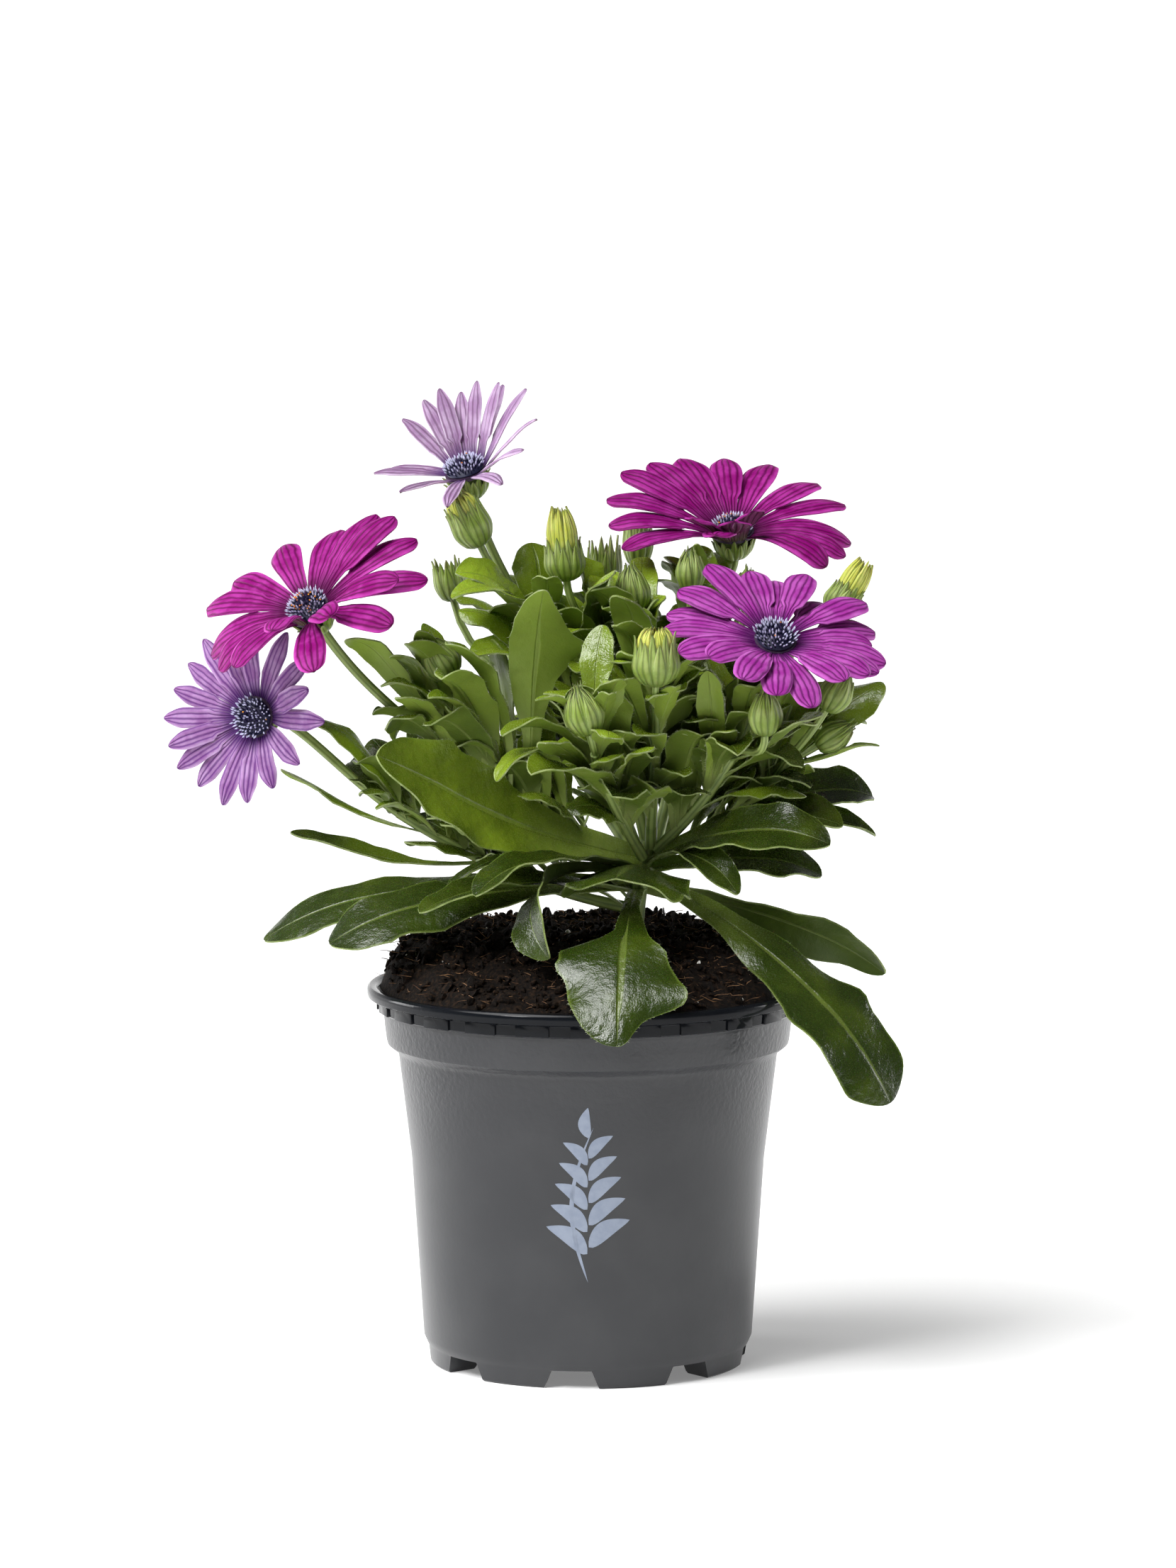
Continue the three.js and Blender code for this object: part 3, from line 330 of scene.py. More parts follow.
    def tube(self, line: Array, radii: Array, columns: int = 10, shade: float = 0.5,
             material: int = 0, axis: Array | None = None) -> Copy:
        """Lay a sheet round a line as a closed tube.

        Args:
            line: the points of the line, in order.
            radii: the tube's radius at each point, zero where it is closed.
            columns: faces round the tube.
            shade: the copy's shade.
            material: the copy's material.
            axis: the tube's own direction, where its line is straight.

        Returns:
            The laid-out copy.
        """
        sheet = self.sheet(columns, len(line) - 1)
        ahead = unit(np.gradient(line, axis=0)) if axis is None else np.tile(axis, (len(line), 1))
        main = np.abs(unit(line[-1] - line[0])) if axis is None else np.abs(axis)
        steady = np.eye(3)[int(np.argmin(main))]
        e1 = unit(steady - ahead * (ahead @ steady)[:, None])
        e2 = np.cross(ahead, e1)
        row = np.rint(sheet.t * (len(line) - 1)).astype(int)
        turn = (2 * math.pi * sheet.s)[:, None]
        out = e1[row] * np.cos(turn) + e2[row] * np.sin(turn)
        return Copy(sheet, line[row] + out * radii[row, None], shade, material)

    def spikes(self, roots: Array, ways: Array, radius: float, material: int = 0) -> Copy:
        """Lay many thin pointed hairs out at once.

        Args:
            roots: where each hair stands.
            ways: the way and the length of each.
            radius: their greatest radius.
            material: their material's number.

        Returns:
            One copy that holds them all.
        """
        sheet = self.sheet(3, 2)
        count = len(sheet.s)
        ahead = unit(ways)
        e1 = unit(np.cross(ahead, UP + 0.01))
        e2 = np.cross(ahead, e1)
        turn = (2 * math.pi * sheet.s)[None, :, None]
        out = e1[:, None] * np.cos(turn) + e2[:, None] * np.sin(turn)
        wide = radius * (np.abs(sheet.t - 0.5) < 0.1)[None, :, None]
        points = roots[:, None] + ways[:, None] * (sheet.t**2)[None, :, None] + out * wide
        starts = np.arange(len(roots)) * count
        many = Sheet(np.tile(sheet.s, len(roots)), np.tile(sheet.t, len(roots)),
                     (sheet.faces[None] + starts[:, None, None]).reshape(-1, 4))
        return Copy(many, points.reshape(-1, 3), 0.5, material)

    def fringe(self, blade: Copy, rng: np.random.Generator, dense: float, long: float,
               material: int) -> Copy:
        """Stand short hairs along the two edges of a laid-out blade.

        Args:
            blade: the blade, whose sheet has an even number of columns.
            rng: the source of the hairs' places.
            dense: how many hairs stand on a millimetre.
            long: their mean length.
            material: their material's number.

        Returns:
            One copy that holds the hairs.
        """
        sheet = blade.sheet
        middle = blade.points[np.abs(sheet.s - 0.5) < TINY]
        roots, ways = [], []
        for edge in (0, 1):
            line = blade.points[np.abs(sheet.s - edge) < TINY]
            along = np.concatenate([[0], np.cumsum(np.linalg.norm(np.diff(line, axis=0), axis=1))])
            at = along[-1] * rng.uniform(0.15, 0.99, max(2, int(along[-1] * dense)))
            place, inner = (np.stack([np.interp(at, along, side[:, k]) for k in range(3)], axis=1)
                            for side in (line, middle))
            out = unit(place - inner + TINY) + rng.normal(0, 0.35, place.shape)
            roots.append(place - out * 0.1)
            ways.append(out * long * rng.uniform(0.6, 1.3, len(at))[:, None])
        return self.spikes(np.concatenate(roots), np.concatenate(ways), 0.05, material)


# ---- shader nodes
class Nodes:
    """Adds shader nodes to a tree and wires them."""

    def __init__(self, tree: bpy.types.NodeTree) -> None:
        """Work on a material's tree or a group's."""
        self.tree = tree

    def add(self, kind: str, inputs: dict | None = None, **settings) -> Node:
        """Add a node.

        Args:
            kind: the node's type.
            inputs: values or sockets for its inputs, by name or number.
            settings: the node's own properties.

        Returns:
            The node.
        """
        node = self.tree.nodes.new(kind)
        for key, value in settings.items():
            setattr(node, key, value)
        self.feed(node, inputs or {})
        return node

    def feed(self, node: Node, inputs: dict) -> None:
        """Give a node's inputs their values, or wire sockets to them."""
        for key, value in inputs.items():
            if isinstance(value, Socket):
                self.tree.links.new(value, node.inputs[key])
            else:
                node.inputs[key].default_value = value

    def math(self, operation: str, a: Socket | float, b: Socket | float = 0.0) -> Socket:
        """Work out one operation on two numbers."""
        return self.add("ShaderNodeMath", {0: a, 1: b}, operation=operation).outputs[0]

    def fade(self, value: Socket, low: float, high: float) -> Socket:
        """Rise smoothly from nought at low to one at high; high may be the smaller."""
        levels = {"Value": value, "From Min": low, "From Max": high}
        node = self.add("ShaderNodeMapRange", levels, interpolation_type="SMOOTHSTEP")
        return node.outputs["Result"]

    def mix(self, factor: Socket | float, first: Socket | tuple, second: Socket | tuple) -> Socket:
        """Mix two colours."""
        node = self.add("ShaderNodeMix", {0: factor, 6: first, 7: second}, data_type="RGBA")
        return node.outputs[2]

    def split(self, vector: Socket) -> tuple[Socket, Socket, Socket]:
        """Take a vector's three numbers apart."""
        return tuple(self.add("ShaderNodeSeparateXYZ", {0: vector}).outputs)

    def noise(self, vector: Socket, scale: float, detail: float = 2.0) -> Socket:
        """Read a cloud of noise at a place."""
        node = self.add("ShaderNodeTexNoise", {"Vector": vector, "Scale": scale, "Detail": detail})
        return node.outputs["Fac"]

    def place(self) -> Socket:
        """The place on the piece, in its object's coordinates."""
        return self.add("ShaderNodeTexCoord").outputs["Object"]

    def flat(self) -> Socket:
        """The place on the piece's own map: across it, then along it."""
        return self.add("ShaderNodeUVMap", uv_map="UVMap").outputs["UV"]

    def shade(self) -> Socket:
        """The shade that each copy was laid out with."""
        return self.add("ShaderNodeAttribute", attribute_name="shade").outputs["Fac"]

    def group(self, tree: bpy.types.NodeTree, inputs: dict) -> Node:
        """Place a shared node group."""
        return self.add("ShaderNodeGroup", inputs, node_tree=tree)

    def bump(self, height: Socket, strength: float, distance: float) -> Socket:
        """Raise the surface by a height, with distance in millimetres."""
        inputs = {"Height": height, "Strength": strength, "Distance": distance * MM}
        return self.add("ShaderNodeBump", inputs).outputs["Normal"]


def new_group(name: str, numbers: list[str], outputs: list[str]) -> tuple[Nodes, Node, Node]:
    """Start a shared node group that reads a piece's map and place.

    Args:
        name: the group's name.
        numbers: the names of its other inputs, which are plain numbers.
        outputs: the names of its outputs, which are plain numbers too.

    Returns:
        Its nodes, its input node and its output node.
    """
    tree = bpy.data.node_groups.new(name, "ShaderNodeTree")
    for socket in ("Map", "Place"):
        tree.interface.new_socket(name=socket, in_out="INPUT", socket_type="NodeSocketVector")
    for socket in numbers:
        tree.interface.new_socket(name=socket, in_out="INPUT", socket_type="NodeSocketFloat")
    for socket in outputs:
        tree.interface.new_socket(name=socket, in_out="OUTPUT", socket_type="NodeSocketFloat")
    nodes = Nodes(tree)
    return nodes, nodes.add("NodeGroupInput"), nodes.add("NodeGroupOutput")


class Patterns:
    """The node groups that several finishes share."""

    def __init__(self) -> None:
        """Build each group once."""
        self.leaf = self.leaf_pattern()
        self.petal = self.petal_pattern()

    @staticmethod
    def leaf_pattern() -> bpy.types.NodeTree:
        """The midrib, petiole, edge and mottling of a green blade."""
        nodes, start, end = new_group("leaf_pattern", [], ["Midrib", "Petiole", "Edge", "Mottle"])
        x, y, _ = nodes.split(start.outputs["Map"])
        off = nodes.math("MULTIPLY", nodes.math("ABSOLUTE", nodes.math("SUBTRACT", x, 0.5)), 2.0)
        narrow = nodes.math("MULTIPLY", nodes.fade(y, 1.0, 0.1), 0.06)
        rib = nodes.fade(nodes.math("SUBTRACT", off, narrow), 0.05, 0.0)
        nodes.feed(end, {"Midrib": rib, "Petiole": nodes.fade(y, 0.32, 0.04),
                         "Edge": nodes.fade(off, 0.93, 1.0),
                         "Mottle": nodes.noise(start.outputs["Place"], 60.0)})
        return nodes.tree

    @staticmethod
    def petal_pattern() -> bpy.types.NodeTree:
        """The long stripes, pale edge, throat and mottling of a petal."""
        nodes, start, end = new_group("petal_pattern", ["Stripes"],
                                      ["Stripe", "Edge", "Throat", "Mottle", "Tip"])
        x, y, _ = nodes.split(start.outputs["Map"])
        off = nodes.math("SUBTRACT", x, 0.5)
        wander = nodes.math("MULTIPLY", nodes.noise(start.outputs["Place"], 220.0), 0.12)
        phase = nodes.math("MULTIPLY", nodes.math("ADD", off, wander), start.outputs["Stripes"])
        wave = nodes.math("ABSOLUTE", nodes.math("SINE", phase))
        stretched = nodes.add("ShaderNodeMapping",
                              {"Vector": start.outputs["Map"], "Scale": (30.0, 1.5, 1.0)})
        streak = nodes.noise(stretched.outputs[0], 1.0, 3.0)
        stripe = nodes.math("MULTIPLY", nodes.fade(wave, 0.95, 0.0), nodes.fade(streak, 0.05, 0.5))
        side = nodes.math("MULTIPLY", nodes.math("ABSOLUTE", off), 2.0)
        nodes.feed(end, {"Stripe": stripe, "Edge": nodes.fade(side, 0.7, 1.0),
                         "Throat": nodes.fade(y, 0.22, 0.02), "Tip": nodes.fade(y, 0.88, 1.0),
                         "Mottle": nodes.noise(start.outputs["Place"], 180.0, 3.0)})
        return nodes.tree


def new_material(name: str, preview: Colour) -> tuple[Material, Nodes, Node]:
    """Start a material with a preview colour, and give its nodes and its shader too."""
    material = bpy.data.materials.new(name)
    material.use_nodes = True
    material.diffuse_color = preview
    shader = next(n for n in material.node_tree.nodes if n.type == "BSDF_PRINCIPLED")
    return material, Nodes(material.node_tree), shader


# ---- finishes
@dataclass(frozen=True)
class LeafFinish:
    """The living green of a blade, from mature dark, which on low leaves is partly painted shade, to young
    light.
    """

    name: str
    dark: Colour
    light: Colour
    rib: Colour
    edge: Colour
    roughness: float
    rib_strength: float = 0.3
    relief: float = 1.0
    gloss: float = 0.35

    def material(self, patterns: Patterns) -> Material:
        """Mix the finish.

        Args:
            patterns: the shared node groups.

        Returns:
            The material.
        """
        material, nodes, shader = new_material(self.name, self.dark)
        place = nodes.place()
        marks = nodes.group(patterns.leaf, {"Map": nodes.flat(), "Place": place})
        cloud = nodes.math("MULTIPLY", nodes.math("SUBTRACT", marks.outputs["Mottle"], 0.5), 0.7)
        # The copy's shade sets dark against light: low leaves' darkness is partly painted shade.
        age = nodes.math("ADD", nodes.shade(), cloud)
        body = nodes.mix(nodes.fade(age, 0.0, 1.0), self.dark, self.light)
        pale = nodes.math("MAXIMUM", nodes.math("MULTIPLY", marks.outputs["Midrib"], self.rib_strength),
                          nodes.math("MULTIPLY", marks.outputs["Petiole"], 0.75))
        ribbed = nodes.mix(pale, body, self.rib)
        edged = nodes.mix(nodes.math("MULTIPLY", marks.outputs["Edge"], 0.35), ribbed, self.edge)
        pores = nodes.noise(place, 2200.0, 1.0)
        swells = nodes.noise(place, 330.0, 3.0)
        grain = nodes.math("ADD", nodes.math("MULTIPLY", pores, 0.3 * self.relief),
                           nodes.math("MULTIPLY", swells, 1.5 * self.relief))
        sunk = nodes.math("MULTIPLY", marks.outputs["Midrib"], -0.8)
        rough = nodes.math("ADD", nodes.math("MULTIPLY", pores, 0.16), self.roughness - 0.08)
        nodes.feed(shader, {"Base Color": edged, "Roughness": rough, "Specular IOR Level": self.gloss,
                            "Normal": nodes.bump(nodes.math("ADD", grain, sunk), 0.8, 0.4),
                            "Subsurface Weight": 0.12, "Subsurface Radius": (0.35, 1.0, 0.12),
                            "Subsurface Scale": FLESH_DEPTH})
        return material


@dataclass(frozen=True)
class PetalFinish:
    """A satin petal with darker veins along it."""

    name: str
    body: Colour
    pale: Colour
    stripe: Colour
    throat: Colour
    stripes: float = 15.7
    stripe_strength: float = 0.85
    roughness: float = 0.45
    gloss: float = 0.08

    def material(self, patterns: Patterns) -> Material:
        """Mix the finish.

        Args:
            patterns: the shared node groups.

        Returns:
            The material.
        """
        material, nodes, shader = new_material(self.name, self.body)
        place = nodes.place()
        marks = nodes.group(patterns.petal, {"Map": nodes.flat(), "Place": place, "Stripes": self.stripes})
        light = nodes.math("MULTIPLY", nodes.fade(marks.outputs["Mottle"], 0.35, 0.7), 0.45)
        body = nodes.mix(nodes.math("ADD", light, nodes.math("MULTIPLY", marks.outputs["Edge"], 0.5)),
                         self.body, self.pale)
        dark = nodes.math("MAXIMUM", marks.outputs["Stripe"], marks.outputs["Tip"])
        striped = nodes.mix(nodes.math("MULTIPLY", dark, self.stripe_strength), body, self.stripe)
        deep = nodes.mix(nodes.math("MULTIPLY", marks.outputs["Throat"], 0.85), striped, self.throat)
        height = nodes.math("MULTIPLY", marks.outputs["Stripe"], -1.0)
        nodes.feed(shader, {"Base Color": deep, "Normal": nodes.bump(height, 0.9, 0.22),
                            "Roughness": self.roughness, "Specular IOR Level": self.gloss,
                            "Subsurface Weight": 0.2, "Subsurface Radius": (1.0, 0.25, 0.8),
                            "Subsurface Scale": FLESH_DEPTH})
        return material


@dataclass(frozen=True)
class StalkFinish:
    """The ribbed, downy green of stalks."""

    name: str = "stalk_green"
    dark: Colour = (0.13, 0.19, 0.035, 1)
    light: Colour = (0.31, 0.4, 0.12, 1)
    ridges: float = 18.85

    def material(self) -> Material:
        """Mix the finish."""
        material, nodes, shader = new_material(self.name, self.dark)
        x, _, _ = nodes.split(nodes.flat())
        ridge = nodes.math("ABSOLUTE", nodes.math("SINE", nodes.math("MULTIPLY", x, self.ridges)))
        cloud = nodes.noise(nodes.place(), 220.0, 4.0)
        level = nodes.math("MULTIPLY", nodes.math("ADD", ridge, cloud), 0.5)
        nodes.feed(shader, {"Base Color": nodes.mix(nodes.fade(level, 0.2, 0.85), self.dark, self.light),
                            "Normal": nodes.bump(ridge, 0.35, 0.25), "Roughness": 0.5,
                            "Subsurface Weight": 0.1, "Subsurface Scale": 0.001})
        return material


@dataclass(frozen=True)
class FloretFinish:
    """A disc floret: dark in its tube, pale at its open tip."""

    name: str = "disc_floret"
    tube: Colour = (0.008, 0.01, 0.045, 1)
    bud: Colour = (0.02, 0.012, 0.06, 1)
    tip: Colour = (0.66, 0.66, 0.88, 1)

    def material(self) -> Material:
        """Mix the finish."""
        material, nodes, shader = new_material(self.name, self.tube)
        _, y, _ = nodes.split(nodes.flat())
        closed = nodes.mix(nodes.fade(y, 0.3, 0.9), self.tube, self.bud)
        opened = nodes.mix(nodes.fade(y, 0.45, 0.8), self.tube, self.tip)
        colour = nodes.mix(nodes.fade(nodes.shade(), 0.3, 0.6), closed, opened)
        nodes.feed(shader, {"Base Color": colour, "Roughness": 0.55})
        return material


@dataclass(frozen=True)
class PlainFinish:
    """One even colour, a little clouded."""

    name: str
    colour: Colour
    cloud: Colour
    roughness: float = 0.6
    scale: float = 400.0

    def material(self) -> Material:
        """Mix the finish."""
        material, nodes, shader = new_material(self.name, self.colour)
        level = nodes.fade(nodes.noise(nodes.place(), self.scale, 3.0), 0.3, 0.7)
        nodes.feed(shader, {"Base Color": nodes.mix(level, self.colour, self.cloud),
                            "Roughness": self.roughness})
        return material


@dataclass(frozen=True)
class PlasticFinish:
    """Moulded anthracite polypropylene with a fine orange-peel skin."""

    name: str = "pot_plastic"
    colour: Colour = (0.022, 0.023, 0.026, 1)
    scuffed: Colour = (0.03, 0.031, 0.034, 1)
    peel: tuple[float, float, float, float] = (0.06, 0.09, 0.1035, 0.1045)
    roughness: float = 0.29
    gloss: float = 0.5

    def material(self) -> Material:
        """Mix the finish."""
        material, nodes, shader = new_material(self.name, self.colour)
        place = nodes.place()
        worn = nodes.fade(nodes.noise(place, 45.0, 4.0), 0.35, 0.75)
        _, _, z = nodes.split(place)
        rising = nodes.math("MULTIPLY", nodes.fade(z, self.peel[0], self.peel[1]),
                            nodes.fade(z, self.peel[3], self.peel[2]))
        skin = nodes.math("MULTIPLY", nodes.noise(place, 620.0, 2.0), nodes.math("ADD", rising, 0.12))
        nodes.feed(shader, {"Base Color": nodes.mix(worn, self.colour, self.scuffed),
                            "Normal": nodes.bump(skin, 0.6, 0.35), "Roughness": self.roughness,
                            "Specular IOR Level": self.gloss})
        return material


@dataclass(frozen=True)
class PeatFinish:
    """Dark damp peat with lighter fibres."""

    name: str = "peat"
    dark: Colour = (0.0035, 0.0022, 0.0016, 1)
    light: Colour = (0.045, 0.024, 0.012, 1)

    def material(self) -> Material:
        """Mix the finish."""
        material, nodes, shader = new_material(self.name, self.dark)
        place = nodes.place()
        grain = nodes.noise(place, 900.0, 6.0)
        level = nodes.math("MULTIPLY", nodes.fade(grain, 0.42, 0.78), nodes.shade())
        nodes.feed(shader, {"Base Color": nodes.mix(level, self.dark, self.light),
                            "Normal": nodes.bump(grain, 0.9, 0.8), "Roughness": 0.85,
                            "Specular IOR Level": 0.12})
        return material


# ---- the plant's own rows
class Form(Enum):
    """The outlines of leaves.

    Each is the half widths at STATIONS as shares of the greatest, on the left and on the right,
    with the height of the edges over the midrib, their wave, the droop of the tip and, where
    the outline needs them, stations of its own.
    """

    SPOON = ((0.18, 0.3, 0.7, 1, 0.72, 0), None, 0.25, 0.12, 0.05)
    OVAL = ((0.2, 0.55, 0.95, 1, 0.7, 0), None, 0.18, 0.1, 0.06)
    STRAP = ((0.22, 0.62, 0.95, 1, 0.72, 0), None, 0.3, 0.08, 0.02)
    POINT = ((0.3, 0.85, 1, 0.8, 0.42, 0), None, 0.35, 0.05, 0.04)
    PADDLE = ((0.14, 0.36, 0.76, 1, 0.88, 0), None, -0.1, 0.1, 0.05)
    SADDLE = ((0.2, 0.7, 1, 0.95, 0.7, 0), None, -0.38, 0.1, 0)
    LOBED = ((0.14, 0.14, 0.36, 0.6, 0.98, 1.08, 0.4, 0), (0.14, 0.14, 0.2, 1.08, 0.93, 0.88, 0.7, 0),
             -0.12, 0.05, 0.03, (0, 0.3, 0.5, 0.6, 0.74, 0.81, 0.9, 1))
    CREST = ((0.2, 0.3, 0.61, 1.45, 1, 0.4, 0), (0.2, 0.25, 0.7, 0.8, 0.8, 0.5, 0),
             0.12, 0.06, 0.02, (0, 0.28, 0.52, 0.68, 0.74, 0.91, 1))


STATIONS = (0, 0.28, 0.52, 0.74, 0.91, 1)

# Control points of the trunk.
TRUNK = ((13, 0, 108), (13.5, 0, 128), (14, 0, 142), (18, 0, 154))

# Each leafy stem: its control points, its leaves and how many leaves fill it.
STEMS = {
    "stem_a": {
        "path": ((13, -2, 146), (-8, 3, 156), (-28, 0, 170), (-44, -3, 183)),
        "leaves": (
            (0.5, -13, -32, 232, 19, 34, 0, "crest"), (0.6, -40, -26, 216, 14, 50, -30, "spoon"),
            (0.68, -42, -34, 207, 13, 60, 0, "oval"), (0.85, -55, -24, 201, 8, 40, 10, "strap"),
            (0.72, -45, -30, 202, 7, 50, -20, "strap"), (0.95, -56, -10, 213, 9, 60, 20, "oval"),
            (0.9, -49, -16, 218, 8, 50, 30, "oval"), (0.88, -47, 6, 219, 8, 40, 0, "spoon"),
            (0.95, -59, 8, 185, 6, 120, 0, "strap"), (0.62, -28, -2, 214, 11, 30, 0, "oval"),
            (0.4, -21, 6, 201, 12, 30, 0, "spoon"),
        ),
        "fill": 4,
    },
    "stem_b": {
        "path": ((13, 2, 134), (-12, 6, 138), (-35, 8, 148), (-56, 8, 161.5)),
        "leaves": (
            (0.95, -80, 3, 192, 8, 40, -30, "strap"), (0.9, -71, 20, 177, 12, 50, -40, "oval"),
            (0.85, -89, 13, 176, 6, -30, 10, "strap"), (0.8, -62, -5, 166, 6, 50, 0, "spoon"),
            (0.6, -87, 16, 157, 8, -40, -20, "spoon"), (0.5, -54, 0, 154, 9, 40, 0, "oval"),
        ),
        "fill": 3,
    },
    "stem_c": {
        "path": ((15, 3, 150), (8, 8, 168), (-2, 14, 190), (-14, 17, 212)),
        "leaves": (
            (0.97, -38, -2, 235, 13, 60, -40, "spoon"), (0.9, -38, 18, 227, 10, 30, 0, "strap"),
            (0.99, -16, 22, 241, 14, 30, 0, "oval"), (0.95, -26, 30, 233, 9, 40, 0, "oval"),
            (0.84, -39, -14, 232, 10, 70, -10, "strap"), (0.93, -12, -8, 233, 9, 50, 0, "spoon"),
        ),
        "fill": 5,
    },
    "stem_d": {
        "path": ((20, 4, 153), (26, 11, 175), (31, 19, 198), (34, 24, 218)),
        "leaves": (
            (0.8, 24, 26, 237, 9, 40, 0, "strap"), (0.85, 32, 12, 242, 8, 40, 0, "point"),
            (0.6, 16, 20, 223, 11, 40, 0, "oval"), (0.55, 35, -6, 206, 10, 40, 0, "spoon"),
        ),
        "fill": 7,
    },
    "stem_e": {
        "path": ((20, -3, 152), (31, -10, 163), (41, -16, 176), (46, -19, 190)),
        "leaves": (
            (0.17, 32, -30, 192, 14, 30, 0, "oval"), (0.5, 43, -40, 187, 13, 60, 0, "oval"),
            (0.75, 64, -44, 199, 9, -30, 20, "strap"), (0.62, 35, -30, 208, 8, -30, 0, "strap"),
            (0.9, 48, -34, 205, 8, 30, 0, "oval"), (0.85, 66, -30, 192, 8, 60, 0, "spoon"),
        ),
        "fill": 3,
    },
    "stem_f": {
        "path": ((17, 1, 154), (13, 6, 174), (5, 13, 196), (2, 19, 214)),
        "leaves": (
            (0.8, -6, -12, 219, 11, 40, 0, "oval"), (0.6, -3, -22, 210, 10, 40, 0, "strap"),
            (0.8, 6, -12, 235, 12, 70, 55, "strap"),
        ),
        "fill": 7,
    },
    "stem_g": {
        "path": ((18.5, -1, 155), (19, -2, 172), (17, -3, 190), (14, -2, 208)),
        "leaves": (
            (0.62, 10, -18, 232, 11, 40, 0, "oval"), (0.8, 16, 18, 239, 9, 40, 0, "strap"),
            (0.75, 27, -22, 215, 9, 50, 0, "oval"),
        ),
        "fill": 7,
    },
    "stem_h": {
        "path": ((18.5, -3, 153), (18, -12, 168), (21, -22, 184), (19.5, -33, 201)),
        "leaves": (
            (0.6, 9, -34, 225, 9, 50, 20, "oval"), (0.45, 6, -46, 209, 9, 50, 0, "spoon"),
            (0.7, 25, -44, 204, 6, 30, 0, "strap"), (0.8, 36, -34, 216, 8, 40, 30, "oval"),
        ),
        "fill": 4,
    },
    "stem_i": {
        "path": ((16, -4, 150), (9, -16, 163), (4, -28, 175), (2, -38, 184)),
        "leaves": (
            (0.85, -15, -50, 202, 5, 80, 0, "point"), (0.85, 6, -53, 203, 6, 60, 0, "strap"),
            (0.45, 11, -46, 192, 10, 60, 0, "spoon"), (0.7, -25, -48, 192, 10, 80, 0, "strap"),
            (0.55, -28, -50, 182, 9, 80, 0, "oval"), (0.65, -14, -54, 190, 7, 40, 20, "oval"),
            (0.95, 4, -32, 221, 10, 40, 0, "spoon"), (0.2, -16, -56, 182, 14, 50, -10, "strap"),
        ),
        "fill": 2,
    },
    "stem_k": {
        "path": ((21, 1, 150), (36, 3, 155), (50, 3, 167), (60, 2, 178)),
        "leaves": (
            (0.95, 67, -10, 191, 6, 40, 0, "oval"), (0.95, 82, 6, 191, 8, 50, 30, "oval"),
            (0.95, 84, 0, 185, 5, -20, 0, "point"), (0.9, 87, 8, 200, 13, 50, 40, "spoon"),
            (0.25, 85, 0, 160, 12, 20, 30, "point"), (0.3, 85, 12, 168, 18, 50, 35, "spoon"),
        ),
        "fill": 4,
    },
    "stem_l": {
        "path": ((14, 5, 148), (6, 18, 160), (-6, 34, 174), (-16, 46, 188)),
        "leaves": (),
        "fill": 8,
    },
    "stem_m": {
        "path": ((20, 5, 150), (28, 18, 162), (38, 34, 176), (46, 46, 190)),
        "leaves": (),
        "fill": 8,
    },
}

# Leaves of the crown, rooted on the trunk.
BASAL = (
    (0.86, -55.5, -48, 186, 26, -44, -60, "oval"), (0.7, -97, -4, 130, 18, 25, -25, "paddle"),
    (0.66, -76, -26, 131, 22, 25, -25, "paddle"), (0.62, -49, -38, 140, 14, 30, -10, "oval"),
    (0.78, -33, -48, 148, 16, 34, 0, "oval"), (0.74, -14, -53, 127, 15, 110, 50, "spoon"),
    (0.82, 8, -46, 149, 36, 14, 0, "saddle"), (0.66, 8, -76, 106, 34, 60, 0, "lobed"),
    (0.76, 90, -42, 85, 25, 44, 25, "paddle"), (0.66, 89, 12, 115, 14.8, 30, -45, "oval"),
    (0.86, 74, -22, 164, 18, 40, 25, "spoon"), (0.84, 69, -40, 161, 18, 40, 35, "oval"),
    (0.78, 69, -8, 147.5, 18, 30, 25, "oval"), (0.8, 44, -32, 143.5, 10, 90, 20, "spoon"),
    (0.55, -46, -14, 138, 8, 100, 0, "strap"), (0.5, -53, -2, 134, 6, 80, 0, "strap"),
)

# Young leaves between the stalks of the buds, beside the rows above.
YOUNG = {
    "stem_a": (
        (0.7, -52, -18, 216, 11, 60, 30, "spoon"), (0.8, -60, -14, 204, 9, 80, 0, "spoon"),
        (0.6, -46, -30, 195, 12, 60, 20, "oval"), (0.95, -70, -10, 219, 8, 45, 50, "strap"),
    ),
    "stem_c": (
        (0.8, -37, 0, 224, 14, 50, -35, "oval"), (0.7, -33, -8, 214, 14, 40, -25, "oval"),
        (0.6, -31, 6, 206, 13, 40, 0, "spoon"), (0.9, -27, 2, 226, 12, 40, 20, "spoon"),
    ),
    "stem_f": (
        (0.7, -14, -4, 224, 13, 40, 0, "oval"), (0.9, 4, 4, 226, 11, 40, 0, "spoon"),
    ),
    "stem_g": (
        (0.8, 20, 2, 228, 11, 40, 0, "oval"), (0.9, 8, 8, 233, 10, 40, 0, "spoon"),
    ),
    "stem_d": (
        (0.8, 38, 4, 226, 12, 40, 0, "oval"), (0.9, 22, 16, 232, 11, 40, 0, "spoon"),
    ),
    "stem_k": (
        (0.8, 62, -4, 206, 11, 40, 0, "oval"), (0.7, 56, 4, 200, 12, 40, 0, "spoon"),
    ),
}

